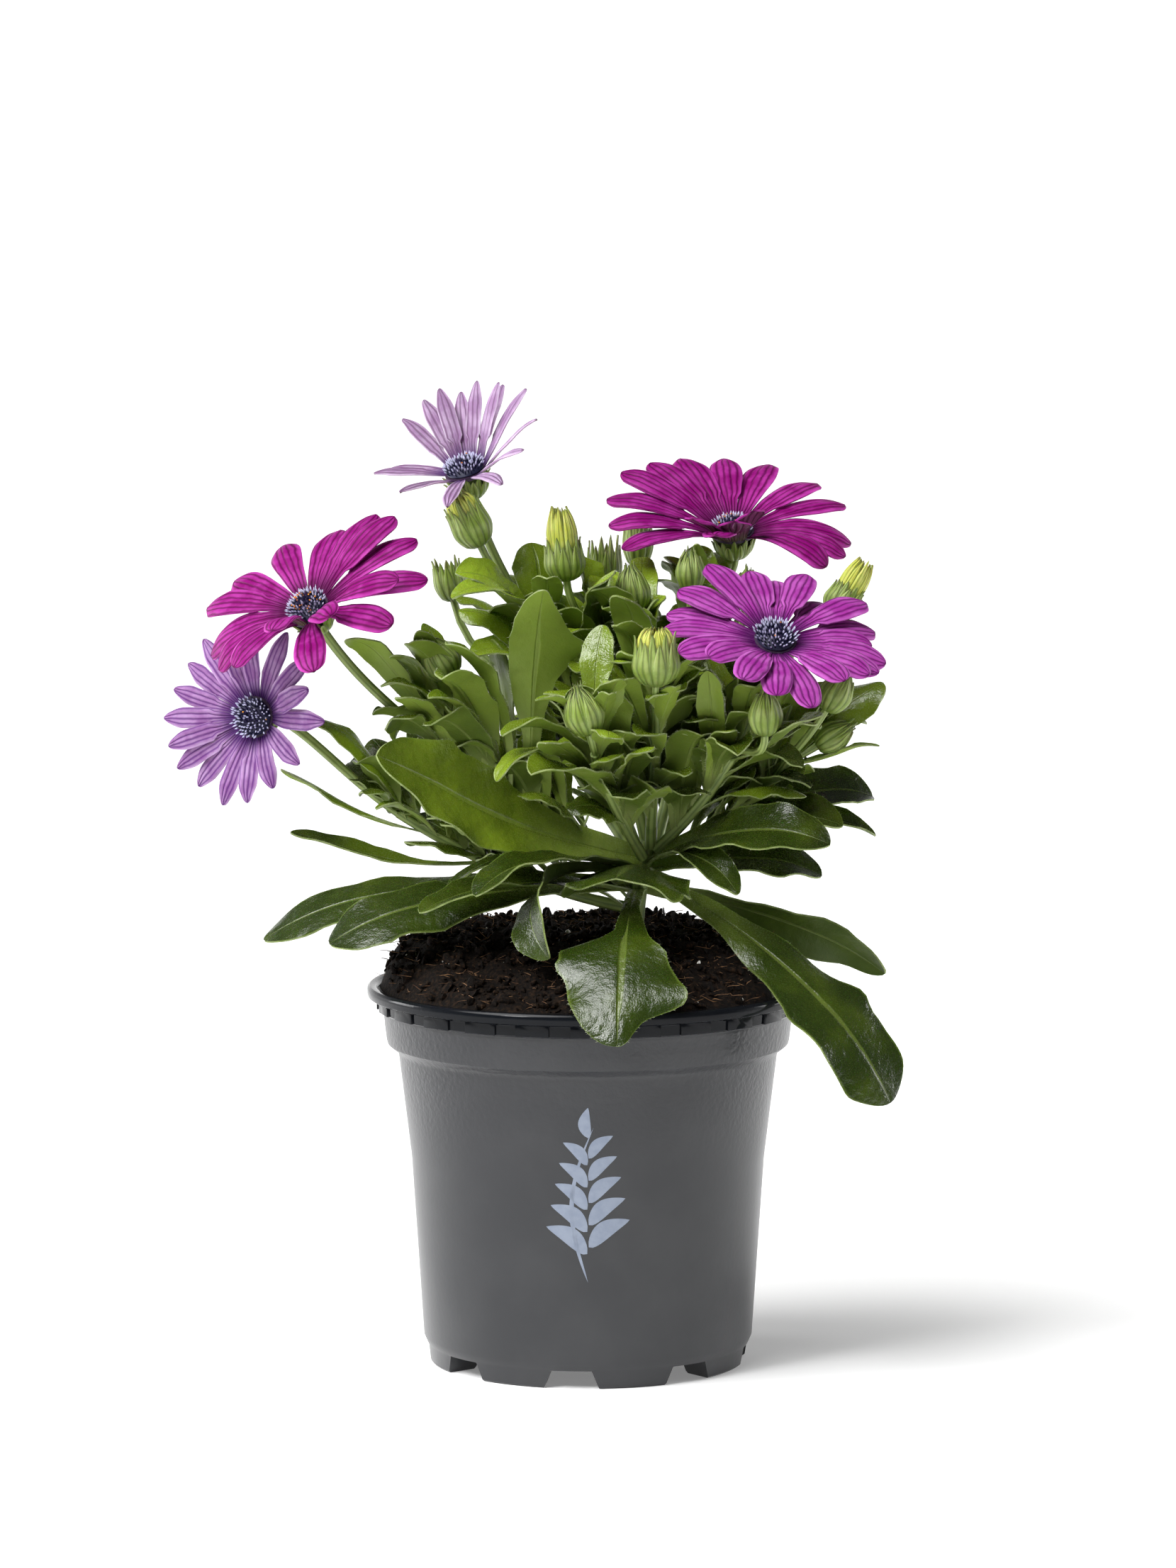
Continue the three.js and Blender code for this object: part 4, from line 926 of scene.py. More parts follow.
# Buds: root on the stem, foot, lean, radius, height and yellow length.
BUDS = {
    "stem_a": ((0.95, (-40, -6, 203), (-0.5, -0.1, 0.8), 6, 13, 0),),
    "stem_c": (
        (0.98, (-31.5, 8, 240.4), (-0.42, -0.1, 0.9), 5.8, 13, 4),
        (0.6, (-40, 34, 222), (-0.2, 0, 1), 4.4, 12, 0),
    ),
    "stem_d": (
        (0.75, (30, 9, 227), (0, 0, 1), 4, 12, 0), (0.7, (46, 1, 222), (0.1, 0, 1), 4.4, 12, 0),
    ),
    "stem_e": ((0.8, (51, -36, 189), (0, -0.1, 1), 4.6, 13, 0),),
    "stem_f": (
        (0.95, (-6.3, 9, 230), (-0.1, 0, 1), 5.8, 11, 11), (0.98, (4.7, 28, 226), (0, 0, 1), 5, 14, 0),
    ),
    "stem_g": (
        (0.95, (13.6, 0, 221), (-0.1, 0, 1), 5, 14, 0), (0.8, (15, 39, 232), (0, 0.1, 1), 4.2, 14, 0),
    ),
    "stem_h": ((0.98, (19.4, -40, 203.5), (0, 0, 1), 6.8, 13, 4),),
    "stem_i": ((0.95, (0.5, -43, 190), (-0.25, -0.1, 0.95), 5.6, 14, 0),),
    "stem_k": (
        (0.95, (67, 1, 182), (0.8, 0, 0.5), 4.4, 12, 0), (0.85, (69, -14, 194), (0.5, 0, 0.85), 4.6, 13, 0),
        (0.75, (72, 6, 220), (0.5, 0.2, 0.8), 5.2, 9, 10),
    ),
    "stem_l": ((0.95, (-18, 51, 196), (-0.2, 0.3, 1), 4.8, 13, 0),),
    "stem_m": ((0.95, (49, 51, 199), (0.2, 0.3, 1), 4.6, 13, 0),),
}

# Blooms: stem, middle of the petal ring, way that it faces, and petals as azimuth, lift, curl, length.
BLOOMS = {
    "a": {
        "stem": "stem_a", "centre": (-81, -10, 223), "axis": (-0.42, -0.55, 0.72),
        "colour": "magenta", "shape": "broad", "width": 9.2,
        "petals": (
            (-177, 18, 35, 33), (165, 15, 22, 30), (136, 15, 30, 31), (106, 15, 35, 30), (84, 20, 25, 32),
            (68, 20, 25, 32), (54, 14, 25, 32), (26, 14, 30, 32), (14, 34, 35, 29), (-9, 20, 25, 30),
            (-28, 56, 40, 22), (-52, 30, 30, 31), (-78, 76, 60, 19), (-135, 24, 60, 28), (-156, 22, 55, 32),
            (-110, 44, 60, 25),
        ),
    },
    "b": {
        "stem": "stem_b", "centre": (-98, 8, 190), "axis": (-0.42, -0.9, 0.08),
        "colour": "lavender", "shape": "slim", "width": 6.2,
        "petals": (
            (150, -4, 10, 24), (166, 8, 10, 23), (-177, 10, 10, 24), (-160, 14, 15, 23), (-147, 10, 10, 24),
            (-132, 6, 15, 23), (-108, 20, 15, 22), (-88, 24, 20, 20), (-62, 40, 25, 19), (-33, 42, 25, 20),
            (0, 38, 15, 25), (21, 42, 15, 24), (40, 34, 20, 24), (64, 25, 20, 23), (86, 34, 15, 23),
            (110, 20, 15, 21), (130, 5, 10, 23),
        ),
    },
    "c": {
        "stem": "stem_c", "centre": (-36, 20, 261), "axis": (-0.25, -0.28, 0.93),
        "colour": "lavender", "shape": "slim", "width": 5.2,
        "petals": (
            (165, 38, 10, 26), (-162, 12, 10, 24), (-177, 10, 10, 26), (-90, 25, 10, 23), (-60, 16, 20, 23),
            (150, 52, 10, 26), (138, 54, 10, 26), (124, 50, 10, 25), (108, 54, 10, 26), (92, 54, 10, 26),
            (62, 54, 10, 26), (78, 60, 10, 25), (22, 42, 10, 25), (-4, 32, 10, 24), (-26, 22, 20, 24),
        ),
    },
    "d": {
        "stem": "stem_d", "centre": (43, 25, 243), "axis": (-0.05, -0.38, 0.92),
        "colour": "magenta", "shape": "broad", "width": 9.8,
        "petals": (
            (160, 38, 30, 34), (178, 38, 35, 34), (-163, 36, 35, 33), (-146, 30, 35, 32), (138, 36, 30, 33),
            (120, 32, 30, 34), (100, 28, 25, 32), (80, 22, 25, 34), (55, 16, 25, 33), (36, 12, 25, 33),
            (12, 14, 45, 31), (-11, 18, 45, 30), (-28, 24, 60, 29), (-60, 62, 30, 17), (-82, 70, 30, 15),
            (-100, 66, 30, 15), (-124, 58, 30, 17),
        ),
    },
    "e": {
        "stem": "stem_e", "centre": (54, -30, 216), "axis": (0.08, -0.58, 0.81),
        "colour": "violet", "shape": "broad", "width": 9,
        "petals": (
            (-162, 28, 25, 26), (-146, 36, 30, 22), (-117, 34, 30, 26), (-98, 30, 25, 26),
            (-80, 22, 25, 28), (-60, 30, 25, 27), (-42, 30, 25, 27), (-32, 16, 25, 27), (-18, 14, 25, 27),
            (0, 12, 25, 23), (16, 4, 20, 27), (30, 14, 25, 28), (50, -4, 20, 26), (66, 14, 25, 27),
            (82, 8, 25, 26), (96, 10, 20, 26), (120, 25, 25, 28), (140, 18, 25, 28), (152, 10, 25, 28),
            (170, 14, 25, 27),
        ),
    },
}


class Leaf(NamedTuple):
    """A leaf's row: its root's place on its stem, its tip, width, curl, roll and outline."""

    at: float
    x: float
    y: float
    z: float
    width: float
    curl: float
    roll: float
    form: str

    @property
    def tip(self) -> Array:
        """The place of the leaf's tip."""
        return np.array([self.x, self.y, self.z], float)


class BudRow(NamedTuple):
    """A bud's row: its root's place on its stem, its foot, lean, radius, height and yellow length."""

    at: float
    foot: Point
    lean: Point
    radius: float
    height: float
    yellow: float


class PetalRow(NamedTuple):
    """A petal's row: its azimuth round the bloom, its lift, curl and length."""

    azimuth: float
    lift: float
    curl: float
    length: float


@dataclass(frozen=True)
class Stalk:
    """A trunk or stem that leaves grow from."""

    curve: Curve
    radius: float

    def rib(self, row: Leaf) -> Rib:
        """Give the midrib of a leaf that grows here."""
        middle = self.curve.at(row.at)
        root = middle + unit(row.tip - middle) * self.radius * 0.5
        return Rib.between(root, row.tip, row.curl, row.roll)


# ---- green blades
@dataclass
class LeafMaker:
    """Lays leaves out from their rows."""

    bench: Workbench
    thickness: float = 0.5
    slim: float = 8
    broad: float = 15
    wide: float = 24
    crease: float = 0.35
    teeth: int = 5
    tooth: float = 0.1
    rng: np.random.Generator = field(default_factory=lambda: np.random.default_rng(5))

    def sheet_for(self, width: float) -> Sheet:
        """Choose a sheet fine enough for a leaf's width."""
        if width >= self.wide:
            return self.bench.sheet(22, 40)
        if width >= self.broad:
            return self.bench.sheet(14, 28)
        return self.bench.sheet(10, 20) if width >= self.slim else self.bench.sheet(8, 14)

    def outline(self, form: Form, u: Array, side: Array) -> Array:
        """Give a leaf's half width as a share of its greatest, on its left where side is positive."""
        left, right, _, _, _, *own = form.value
        stations = own[0] if own else STATIONS
        halves = []
        for shares in (left, right or left):
            squares = [share * abs(share) for share in shares]
            halves.append(np.sqrt(np.maximum(smooth_through(stations, squares, u), 0)))
        return np.where(side > 0, halves[0], halves[1])

    def bumps(self, u: Array, side: Array) -> Array:
        """Give the small blunt teeth along a leaf's edges, as a share of its width."""
        swell = np.zeros_like(u)
        for hand in (1, -1):
            for place in self.rng.uniform(0.42, 0.93, self.teeth):
                size = self.rng.uniform(0.3, 1.0) * self.tooth
                peak = size * np.exp(-(((u - place) / 0.03) ** 2))
                swell += np.where(side * hand > 0, peak, 0)
        return swell

    def lay(self, stalk: Stalk, row: Leaf, shade: float, material: int = 0) -> Copy:
        """Lay one leaf out.

        Args:
            stalk: what it grows from.
            row: its row.
            shade: from 0 for dark to 1 for young light; low leaves are darker partly as painted shade.
            material: its material's number.

        Returns:
            The laid-out copy.
        """
        form = Form[row.form.upper()]
        _, _, fold, wave, hook, *_ = form.value
        if row.width < self.broad:
            fold = self.rng.uniform(-0.45, 0.6)
            wave = wave * self.rng.uniform(1, 2.6)
            hook = self.rng.uniform(0, 0.13)
        rib = stalk.rib(row)
        sheet = self.sheet_for(row.width)
        side = 1 - 2 * sheet.s
        u = 1 - (1 - sheet.t) ** 1.7
        phase = 0.37 * (row.x + row.y + row.z)
        centre, normal = rib.at(u)
        share = self.outline(form, u, side)
        half = row.width / 2 * share * (1 + self.bumps(u, side))
        turn = np.where(side > 0, 0.0, 2.0)
        edge = np.abs(side)
        full = row.width / 2 * share
        lift = full * (fold * edge**1.5 + wave * edge**2 * np.sin(10 * u + phase + turn))
        lift += 0.08 * full * edge**3 * np.sin(27 * u + 1.7 * phase + 2 * turn)
        lift -= np.maximum(0, (u - 0.7) / 0.3) ** 2 * hook * rib.length
        lift -= self.crease * np.exp(-((side * half / 0.9) ** 2)) * np.clip(1.4 - u, 0, 1)
        points = centre + rib.side * (side * half)[:, None] + normal * lift[:, None]
        return Copy(sheet, points, shade, material)


@dataclass
class Husk:
    """Narrow pointed bracts that hug a round green body in two layers."""

    bench: Workbench
    origin: Array
    axis: Array
    outline: Callable[[Array], Array]
    bottom: float
    top: float
    count: int = 9
    stand: float = 0.3
    flare: float = 0.3

    def copies(self, rng: np.random.Generator, material: int) -> list[Copy]:
        """Lay the bracts out, each a little different."""
        e1, e2 = across(self.axis)
        sheet = self.bench.sheet(6, 12)
        side = 2 * sheet.s - 1
        made = []
        for layer, (low, high) in enumerate(((0.0, 0.94), (0.06, 1.12))):
            for k in range(self.count):
                tall = (self.top - self.bottom) * (high - low) * rng.uniform(0.9, 1.05)
                z = self.bottom + (self.top - self.bottom) * low + tall * sheet.t
                r = self.outline(np.minimum(z, self.top)) + self.stand * (2 - layer)
                r = r + self.flare * sheet.t**5 * rng.uniform(0.2, 2.2)
                wide = 1.1 * math.pi / self.count * np.maximum(1 - sheet.t**1.7, 0) ** 0.8
                turn = 2 * math.pi * (k + 0.5 * layer) / self.count + side * wide
                r = r + 0.5 * (1 - side**2) * (1 - 0.5 * sheet.t)
                points = self.origin + self.axis * z[:, None] + spread(e1, e2, turn) * r[:, None]
                made.append(Copy(sheet, points, rng.uniform(0.25, 0.75), material))
        return made


@dataclass
class Bud:
    """A green bud, with the tuft of yellow petals of one that is opening."""

    bench: Workbench
    row: BudRow
    petals: int = 15
    crowned_behind: float = 25

    def __post_init__(self) -> None:
        """Work out the bud's place and direction."""
        self.axis = unit(np.array(self.row.lean, float))
        self.foot = np.array(self.row.foot, float)
        self.crowned = self.row.yellow > 0 or self.foot[1] > self.crowned_behind

    def outline(self, z: Array) -> Array:
        """Give the body's radius at heights over its foot."""
        h, r = self.row.height, self.row.radius * 0.88
        if self.crowned:
            stations, radii = (0, 0.06 * h, 0.48 * h, 0.8 * h, h), (0, 0.5 * r, r, 0.9 * r, 0.82 * r)
        else:
            stations = (0, 0.06 * h, 0.45 * h, 0.8 * h, h)
            radii = (0, 0.5 * r, r, 0.6 * r, 0.1 * r)
        return smooth_through(stations, radii, z)

    def body(self, material: int) -> Copy:
        """Lay the closed green body out."""
        h = self.row.height
        top = 0.8 * h if self.crowned else h
        z = top * (1 - np.cos(np.linspace(0, math.pi, 14))) / 2
        radii = self.outline(z)
        radii[0] = 0
        radii[-1] = 0
        return self.bench.tube(self.foot + self.axis * z[:, None], radii, 20, 0.3, material, self.axis)

    def husk(self) -> Husk:
        """Give the bracts round the body."""
        return Husk(self.bench, self.foot, self.axis, self.outline, 0.02 * self.row.height,
                    (1.08 if self.row.yellow else 0.99) * self.row.height,
                    count=7 if self.row.radius < 5 else 9, flare=0.45 if self.row.yellow else 0.3)

    def tuft(self, rng: np.random.Generator) -> list[Copy]:
        """Lay the furled yellow petals out."""
        e1, e2 = across(self.axis)
        tall = 0.2 * self.row.height + self.row.yellow
        start = self.foot + self.axis * (0.8 * self.row.height + GAP)
        sheet = self.bench.sheet(4, 12)
        side = 2 * sheet.s - 1
        made = []
        for ring, share in ((1.0, 1.0), (0.6, 0.96)):
            for k in range(self.petals):
                height = tall * share * rng.uniform(0.84, 1.0)
                radii = self.row.radius * ring * np.array([0.7, 0.7, 0.58, 0.38])
                r = smooth_through((0, 0.4, 0.75, 1), radii, sheet.t)
                turn0 = 2 * math.pi * (k + 0.5 * (ring < 1)) / self.petals + rng.uniform(-0.12, 0.12)
                wide = 1.45 * math.pi / self.petals * np.maximum(1 - sheet.t**2.2, 0) ** 0.8
                turn = turn0 + side * wide + rng.uniform(-0.1, 0.1) * sheet.t
                r = r + 0.45 * (1 - side**2)
                points = start + self.axis * (height * sheet.t)[:, None] + spread(e1, e2, turn) * r[:, None]
                made.append(Copy(sheet, points, rng.uniform(0.2, 0.9)))
        return made


# ---- blooms
PETAL_STATIONS = (0, 0.38, 0.7, 0.9, 1)


class PetalForm(Enum):
    """The outlines of petals: half widths at PETAL_STATIONS, as shares of the greatest."""

    BROAD = (0.3, 0.76, 1.0, 0.8, 0)
    SLIM = (0.34, 0.88, 0.9, 0.52, 0)


@dataclass
class Bloom:
    """An open daisy: its ring of petals, its disc of florets and its green cup."""

    bench: Workbench
    key: str
    centre: Point
    axis: Point
    shape: str
    width: float
    petals: tuple
    petal_from: float = 5.9
    plate: float = 0.6
    apart: float = 1.2
    thickness: float = 0.45
    hook: float = 0.05
    cup_radius: float = 5.6
    cup_depth: float = 7.5
    disc_radius: float = 5.5
    florets: int = 120
    grains: int = 2

    def __post_init__(self) -> None:
        """Work out the bloom's place, directions and random source."""
        self.middle = np.array(self.centre, float)
        self.facing = unit(np.array(self.axis, float))
        self.e1, self.e2 = across(self.facing)
        self.rng = np.random.default_rng(ord(self.key))
        self.rows = self.settled()

    def from_axis(self, points: Array) -> tuple[Array, Array]:
        """Give how far out from the bloom's axis points are, and how far along it."""
        offset = points - self.middle
        height = offset @ self.facing
        return np.sqrt(np.maximum((offset**2).sum(-1) - height**2, 0)), height

    def settled(self) -> list[PetalRow]:
        """Lift and lower neighbouring petals until one lies clear over the other."""
        rows = sorted((PetalRow(*row) for row in self.petals), key=lambda row: row.azimuth)
        stations = np.array([0.5, 0.65, 0.8, 1])
        for _ in range(60):
            for k, row in enumerate(rows):
                after = (k + 1) % len(rows)
                turn = math.radians((rows[after].azimuth - row.azimuth) % 360)
                r, height = self.from_axis(self.petal_line(row, stations)[0])
                next_r, next_height = self.from_axis(self.petal_line(rows[after], stations)[0])
                steps = (height - next_height)[turn * (r + next_r) / 2 < self.width]
                over = -1 if steps.sum() < 0 else 1
                if (steps * over < self.apart).any():
                    rows[k] = row._replace(lift=row.lift + over * 0.5)
                    rows[after] = rows[after]._replace(lift=rows[after].lift - over * 0.5)
        return rows

    def petal_line(self, row: PetalRow, u: Array) -> tuple[Array, Array, Array]:
        """Give a petal's middle line, its normals there and its sideways direction."""
        out = around(self.e1, self.e2, row.azimuth)
        lift, curl = math.radians(row.lift), math.radians(row.curl)
        angle = (lift - curl * np.asarray(u, float))[..., None]
        radius = row.length / curl
        reach = self.petal_from + radius * (math.sin(lift) - np.sin(angle))
        centre = self.middle + out * reach
        centre = centre + self.facing * radius * (np.cos(angle) - math.cos(lift))
        normal = self.facing * np.cos(angle) - out * np.sin(angle)
        return centre, normal, np.cross(self.facing, out)

    def neck_room(self, order: int, side: Array, points: Array, u: Array) -> Array:
        """Give the half width that a petal's neck has before it meets its neighbours."""
        row = self.rows[order]
        left = (self.rows[(order + 1) % len(self.rows)].azimuth - row.azimuth) % 360 / 2
        right = (row.azimuth - self.rows[order - 1].azimuth) % 360 / 2
        cut = np.tan(np.radians(np.where(side > 0, left, right)))
        return self.from_axis(points)[0] * cut + 60 * np.maximum(0, u - 0.34)

    def petal(self, order: int) -> Copy:
        """Lay one petal out."""
        row = self.rows[order]
        sheet = self.bench.sheet(12, 20)
        side = 1 - 2 * sheet.s
        u = 1 - (1 - sheet.t) ** 1.6
        centre, normal, sideways = self.petal_line(row, u)
        form = PetalForm[self.shape.upper()]
        squares = [share * share for share in form.value]
        share = np.sqrt(np.maximum(smooth_through(PETAL_STATIONS, squares, u), 0))
        notch = 1 - 0.035 * np.exp(-((side / 0.3) ** 2)) * (u > 0.98)
        half = self.width / 2 * share * notch * self.rng.uniform(1.0, 1.1)
        half = np.minimum(half, self.neck_room(order, side, centre, u))
        twist = math.radians(self.rng.uniform(-5, 5))
        ribs = 0.2 * np.cos(9.4 * side) * np.minimum(1, 4 * u) * (1 - 0.4 * u)
        dish = (0.24 - 0.5 * u) * half * side**2 + ribs + half * side * math.sin(twist) * u
        dish = dish - row.length * self.hook * np.maximum(0, (u - 0.7) / 0.3) ** 2
        ruffle = 0.3 * np.sin(9 * u + 4 * row.azimuth) * np.abs(side) ** 3 * u
        points = centre + sideways * (side * half)[:, None] + normal * (dish + ruffle)[:, None]
        return Copy(sheet, points, self.rng.uniform(0.3, 0.7))

    def plate_copy(self) -> Copy:
        """Lay out the plate that the petals grow from."""
        height = self.plate * np.array([-1, -0.98, 0.98, 1])
        radii = (self.petal_from + 0.3) * np.array([0, 1, 1, 0])
        line = self.middle + self.facing * height[:, None]
        return self.bench.tube(line, radii, 24, 0.2, 0, self.facing)

    def dome(self, r: Array) -> Array:
        """Give the disc's height over its base at distances from its middle."""
        return 2.3 * (1 - (r / self.disc_radius) ** 2.4) + 0.2

    def disc(self) -> list[Copy]:
        """Lay the disc's dome and its florets out."""
        base = self.middle + self.facing * (self.plate + GAP)
        r = self.disc_radius * np.array([0, 1, 0.98, 0.85, 0.66, 0.4, 0.2, 0.0])
        z = np.concatenate([[0, 0], self.dome(r[2:])])
        copies = [self.bench.tube(base + self.facing * z[:, None], r, 24, 0.0, 0, self.facing)]
        sheet = self.bench.sheet(5, 4)
        turn = 2 * math.pi * sheet.s
        for k in range(self.florets):
            out_r = (self.disc_radius - 0.4) * math.sqrt((k + 0.5) / self.florets)
            out = around(self.e1, self.e2, 137.508 * k)
            age = out_r / self.disc_radius
            opened = age > 0.45 or self.rng.uniform() > 0.7
            tall = (3.1 if opened else 1.6) * self.rng.uniform(0.75, 1.1)
            stations = (0, 0.5, 0.8, 0.94, 1)
            widths = (0.22, 0.22, 0.28, 0.46, 0.0) if opened else (0.3, 0.38, 0.4, 0.28, 0.0)
            lean = unit(self.facing + out * 1.05 * age**2 + self.rng.normal(0, 0.12, 3))
            radius = smooth_through(stations, widths, sheet.t)
            foot = base + out * out_r + self.facing * (float(self.dome(np.array(out_r))) - 0.3)
            points = foot + lean * (tall * sheet.t)[:, None] + spread(*across(lean), turn) * radius[:, None]
            copies.append(Copy(sheet, points, 1.0 if opened else 0.0))
        return copies

    def pollen(self) -> list[Copy]:
        """Lay the grains of orange pollen out among the florets."""
        base = self.middle + self.facing * (self.plate + GAP)
        copies = []
        for _ in range(self.grains):
            out = around(self.e1, self.e2, self.rng.uniform(0, 360))
            r = self.disc_radius * self.rng.uniform(0.35, 0.98)
            height = float(self.dome(np.array(r))) + self.rng.uniform(1.0, 2.4)
            size = self.rng.uniform(0.16, 0.34)
            grain = self.facing * (height + size * np.linspace(-1, 1, 4))[:, None]
            radii = size * np.array([0, 0.9, 0.9, 0])
            copies.append(self.bench.tube(base + out * r + grain, radii, 5, 0.5, 1, self.facing))
        return copies

    def cup_outline(self, z: Array) -> Array:
        """Give the cup's radius at heights over its foot."""
        d, r = self.cup_depth, self.cup_radius
        return smooth_through((0, 0.12 * d, 0.5 * d, d, 1.3 * d), (0, 0.42 * r, 0.85 * r, r, 1.1 * r), z)

    @property
    def cup_foot(self) -> Array:
        """The place under the cup where the flower stalk ends."""
        return self.middle - self.facing * (self.plate + GAP + self.cup_depth)

    def cup(self, material: int) -> Copy:
        """Lay the green cup's body out."""
        z = self.cup_depth * np.linspace(0, 1, 12)
        radii = self.cup_outline(z) * 0.93
        z = np.append(z, self.cup_depth)
        radii = np.append(radii, 0)
        line = self.cup_foot + self.facing * z[:, None]
        return self.bench.tube(line, radii, 20, 0.3, material, self.facing)

    def husk(self) -> Husk:
        """Give the bracts round the cup."""
        return Husk(self.bench, self.cup_foot, self.facing, self.cup_outline, 0.08 * self.cup_depth,
                    1.02 * self.cup_depth, count=11, flare=0.6)


# ---- what fills the bush
class Draw:
    """The seeded draw that turns and sizes the filling leaves."""

    def __init__(self, seed: int) -> None:
        """Start from a seed."""
        self.state = seed

    def __call__(self) -> float:
        """Draw the next number from nought to one."""
        self.state = (self.state * 16807) % 2147483647
        return self.state / 2147483647


@dataclass
class Room:
    """Where things stand already, so that later leaves stay clear of them."""

    own: float = 3.4
    other: float = 5
    nodes: list[str] = field(default_factory=list)
    points: list[Array] = field(default_factory=list)

    def take(self, node: str, points: Array) -> None:
        """Note points that a node's parts stand at."""
        self.nodes += [node] * len(points)
        self.points.append(points)

    def is_clear(self, node: str, points: Array) -> bool:
        """Tell whether points keep their distance from all that stands."""
        here = np.concatenate(self.points)
        margin = np.where(np.array(self.nodes) == node, self.own, self.other)
        gap = np.linalg.norm(points[:, None] - here[None], axis=2)
        return bool((gap > margin).all())

    @staticmethod
    def probes(stalk: Stalk, row: Leaf) -> Array:
        """Spread points over a leaf."""
        rib = stalk.rib(row)
        u = np.arange(2, 9) / 8
        centre, _ = rib.at(u)
        half = (row.width / 2 * np.where(u > 0.5, 0.9, 0.45))[:, None]
        steps = [centre + rib.side * half * share for share in (-1, 0, 1)]
        return np.stack(steps, axis=1).reshape(-1, 3)


@dataclass
class Plant:
    """The whole plant: crown, leafy stems, buds and blooms."""

    bench: Workbench
    finishes: "Dresser"
    trunk_radius: float = 2.9
    stem_radius: float = 1.7
    flower_radius: float = 1.3
    bud_radius: float = 1.0
    stub: float = 0.14
    seed: int = 11
    tries: int = 30
    hairs: float = 0.8
    low: float = 126
    reach: float = 70
    # Leaf shade rises with height from here: low leaves are darker, partly as painted shade.
    dark_below: float = 145
    light_over: float = 95
    crowd_low: float = 124
    crowd_high: float = 243
    crowd_reach: float = 80
    crowd_gaps: tuple[float, float] = (1.1, 1.6)
    extra: int = 26
    tall: float = 205

    def __post_init__(self) -> None:
        """Set the stalks out."""
        self.rng = np.random.default_rng(self.seed)
        self.leaf_maker = LeafMaker(self.bench)
        self.room = Room()
        self.trunk = Stalk(Curve(*TRUNK), self.trunk_radius)
        self.stalks = {name: Stalk(Curve(*row["path"]), self.stem_radius) for name, row in STEMS.items()}
        self.basal = [Leaf(*row) for row in BASAL]
        self.leaves = {name: [Leaf(*row) for row in STEMS[name]["leaves"]] for name in STEMS}
        self.buds = {name: [Bud(self.bench, BudRow(*row)) for row in BUDS.get(name, ())] for name in STEMS}
        self.blooms = [Bloom(self.bench, key, row["centre"], row["axis"], row["shape"], row["width"],
                             row["petals"], grains=30 if row["colour"] == "magenta" else 2)
                       for key, row in BLOOMS.items()]
        self.fill()

    def bud_stalk(self, stalk: Stalk, bud: Bud) -> Curve:
        """Bend a bud's stalk from its stem up under the bud."""
        root = stalk.curve.at(bud.row.at)
        foot = bud.foot + bud.axis * 0.8
        reach = np.linalg.norm(foot - root) * 0.45
        return Curve(root, root + (foot - root) * 0.3 + UP * reach * 0.15, foot - bud.axis * reach, foot)

    def flower_stalk(self, stalk: Stalk, bloom: Bloom) -> Curve:
        """Bend a flower's stalk from its stem's end up under its cup."""
        foot = bloom.cup_foot + bloom.facing * 0.8
        end = stalk.curve.at(1.0)
        reach = np.linalg.norm(end - foot) * 0.4
        leaving = end + stalk.curve.tangent(1.0) * reach
        return Curve(stalk.curve.at(0.97), leaving, foot - bloom.facing * reach, foot)

    def survey(self) -> None:
        """Note where everything stands that has a row of its own."""
        self.room.take("crown", self.trunk.curve.at(np.arange(1, 11) / 10))
        for row in self.basal:
            self.room.take("crown", self.room.probes(self.trunk, row))
        for name, stalk in self.stalks.items():
            self.room.take(name, stalk.curve.at(np.arange(1, 15) / 14))
            for row in self.leaves[name]:
                self.room.take(name, self.room.probes(stalk, row))
            for bud in self.buds[name]:
                self.room.take(name, self.bud_stalk(stalk, bud).at(np.arange(1, 7) / 6))
                heights = bud.row.height * np.array([0.2, 0.6, 1, 1.4])
                self.room.take(name, bud.foot + bud.axis * heights[:, None])
        for bloom in self.blooms:
            name = BLOOMS[bloom.key]["stem"]
            self.room.take(name, self.flower_stalk(self.stalks[name], bloom).at(np.arange(1, 9) / 8))
            for row in map(PetalRow._make, bloom.petals):
                middle, _, _ = bloom.petal_line(row, np.array([0.2, 0.5, 0.8, 1]))
                self.room.take("petals", middle)

    def fill(self) -> None:
        """Add the leaves that fill the bush, by the rule that the solids follow."""
        self.survey()
        draw = Draw(self.seed)
        for name, stalk in self.stalks.items():
            count = STEMS[name]["fill"]
            for k in range(count):
                self.filling_leaf(name, stalk, k, count, draw)
        for name, rows in YOUNG.items():
            for row in (Leaf(*row) for row in rows):
                self.leaves[name].append(row)
                self.room.take(name, self.room.probes(self.stalks[name], row))
        self.crowd()

    @staticmethod
    def swing(n: int) -> int:
        """Swing to one side and the other, further at each try."""
        return (1 if n % 2 else -1) * math.ceil(n / 2) * 24

    def filling_leaf(self, name: str, stalk: Stalk, k: int, count: int, draw: Draw) -> None:
        """Turn and shorten one filling leaf until it stands clear, or leave it out."""
        at = 0.25 + 0.7 * (k + 0.5) / count
        root = stalk.curve.at(at)
        forward = stalk.curve.tangent(at)
        e1, e2 = across(forward)
        azimuth = 137.5 * k + 360 * draw()
        length = 40 - 12 * at + 6 * draw()
        width = 10 + 4 * draw()
        for n in range(self.tries):
            out = around(e1, e2, azimuth + self.swing(n))
            reach = length * (1 - 0.015 * n)
            tip = root + forward * reach * 0.78 + out * reach * 0.62
            row = Leaf(at, *tip, width, 50, 0, "spoon")
            inside = tip[2] > self.low and math.hypot(tip[0], tip[1]) < self.reach
            if inside and self.grows(name, stalk, row):
                return

    def grows(self, name: str, stalk: Stalk, row: Leaf) -> bool:
        """Let a leaf grow where it stands clear, and tell whether it does."""
        probes = self.room.probes(stalk, row)
        clear = self.room.is_clear(name, probes)
        if clear:
            self.leaves[name].append(row)
            self.room.take(name, probes)
        return clear

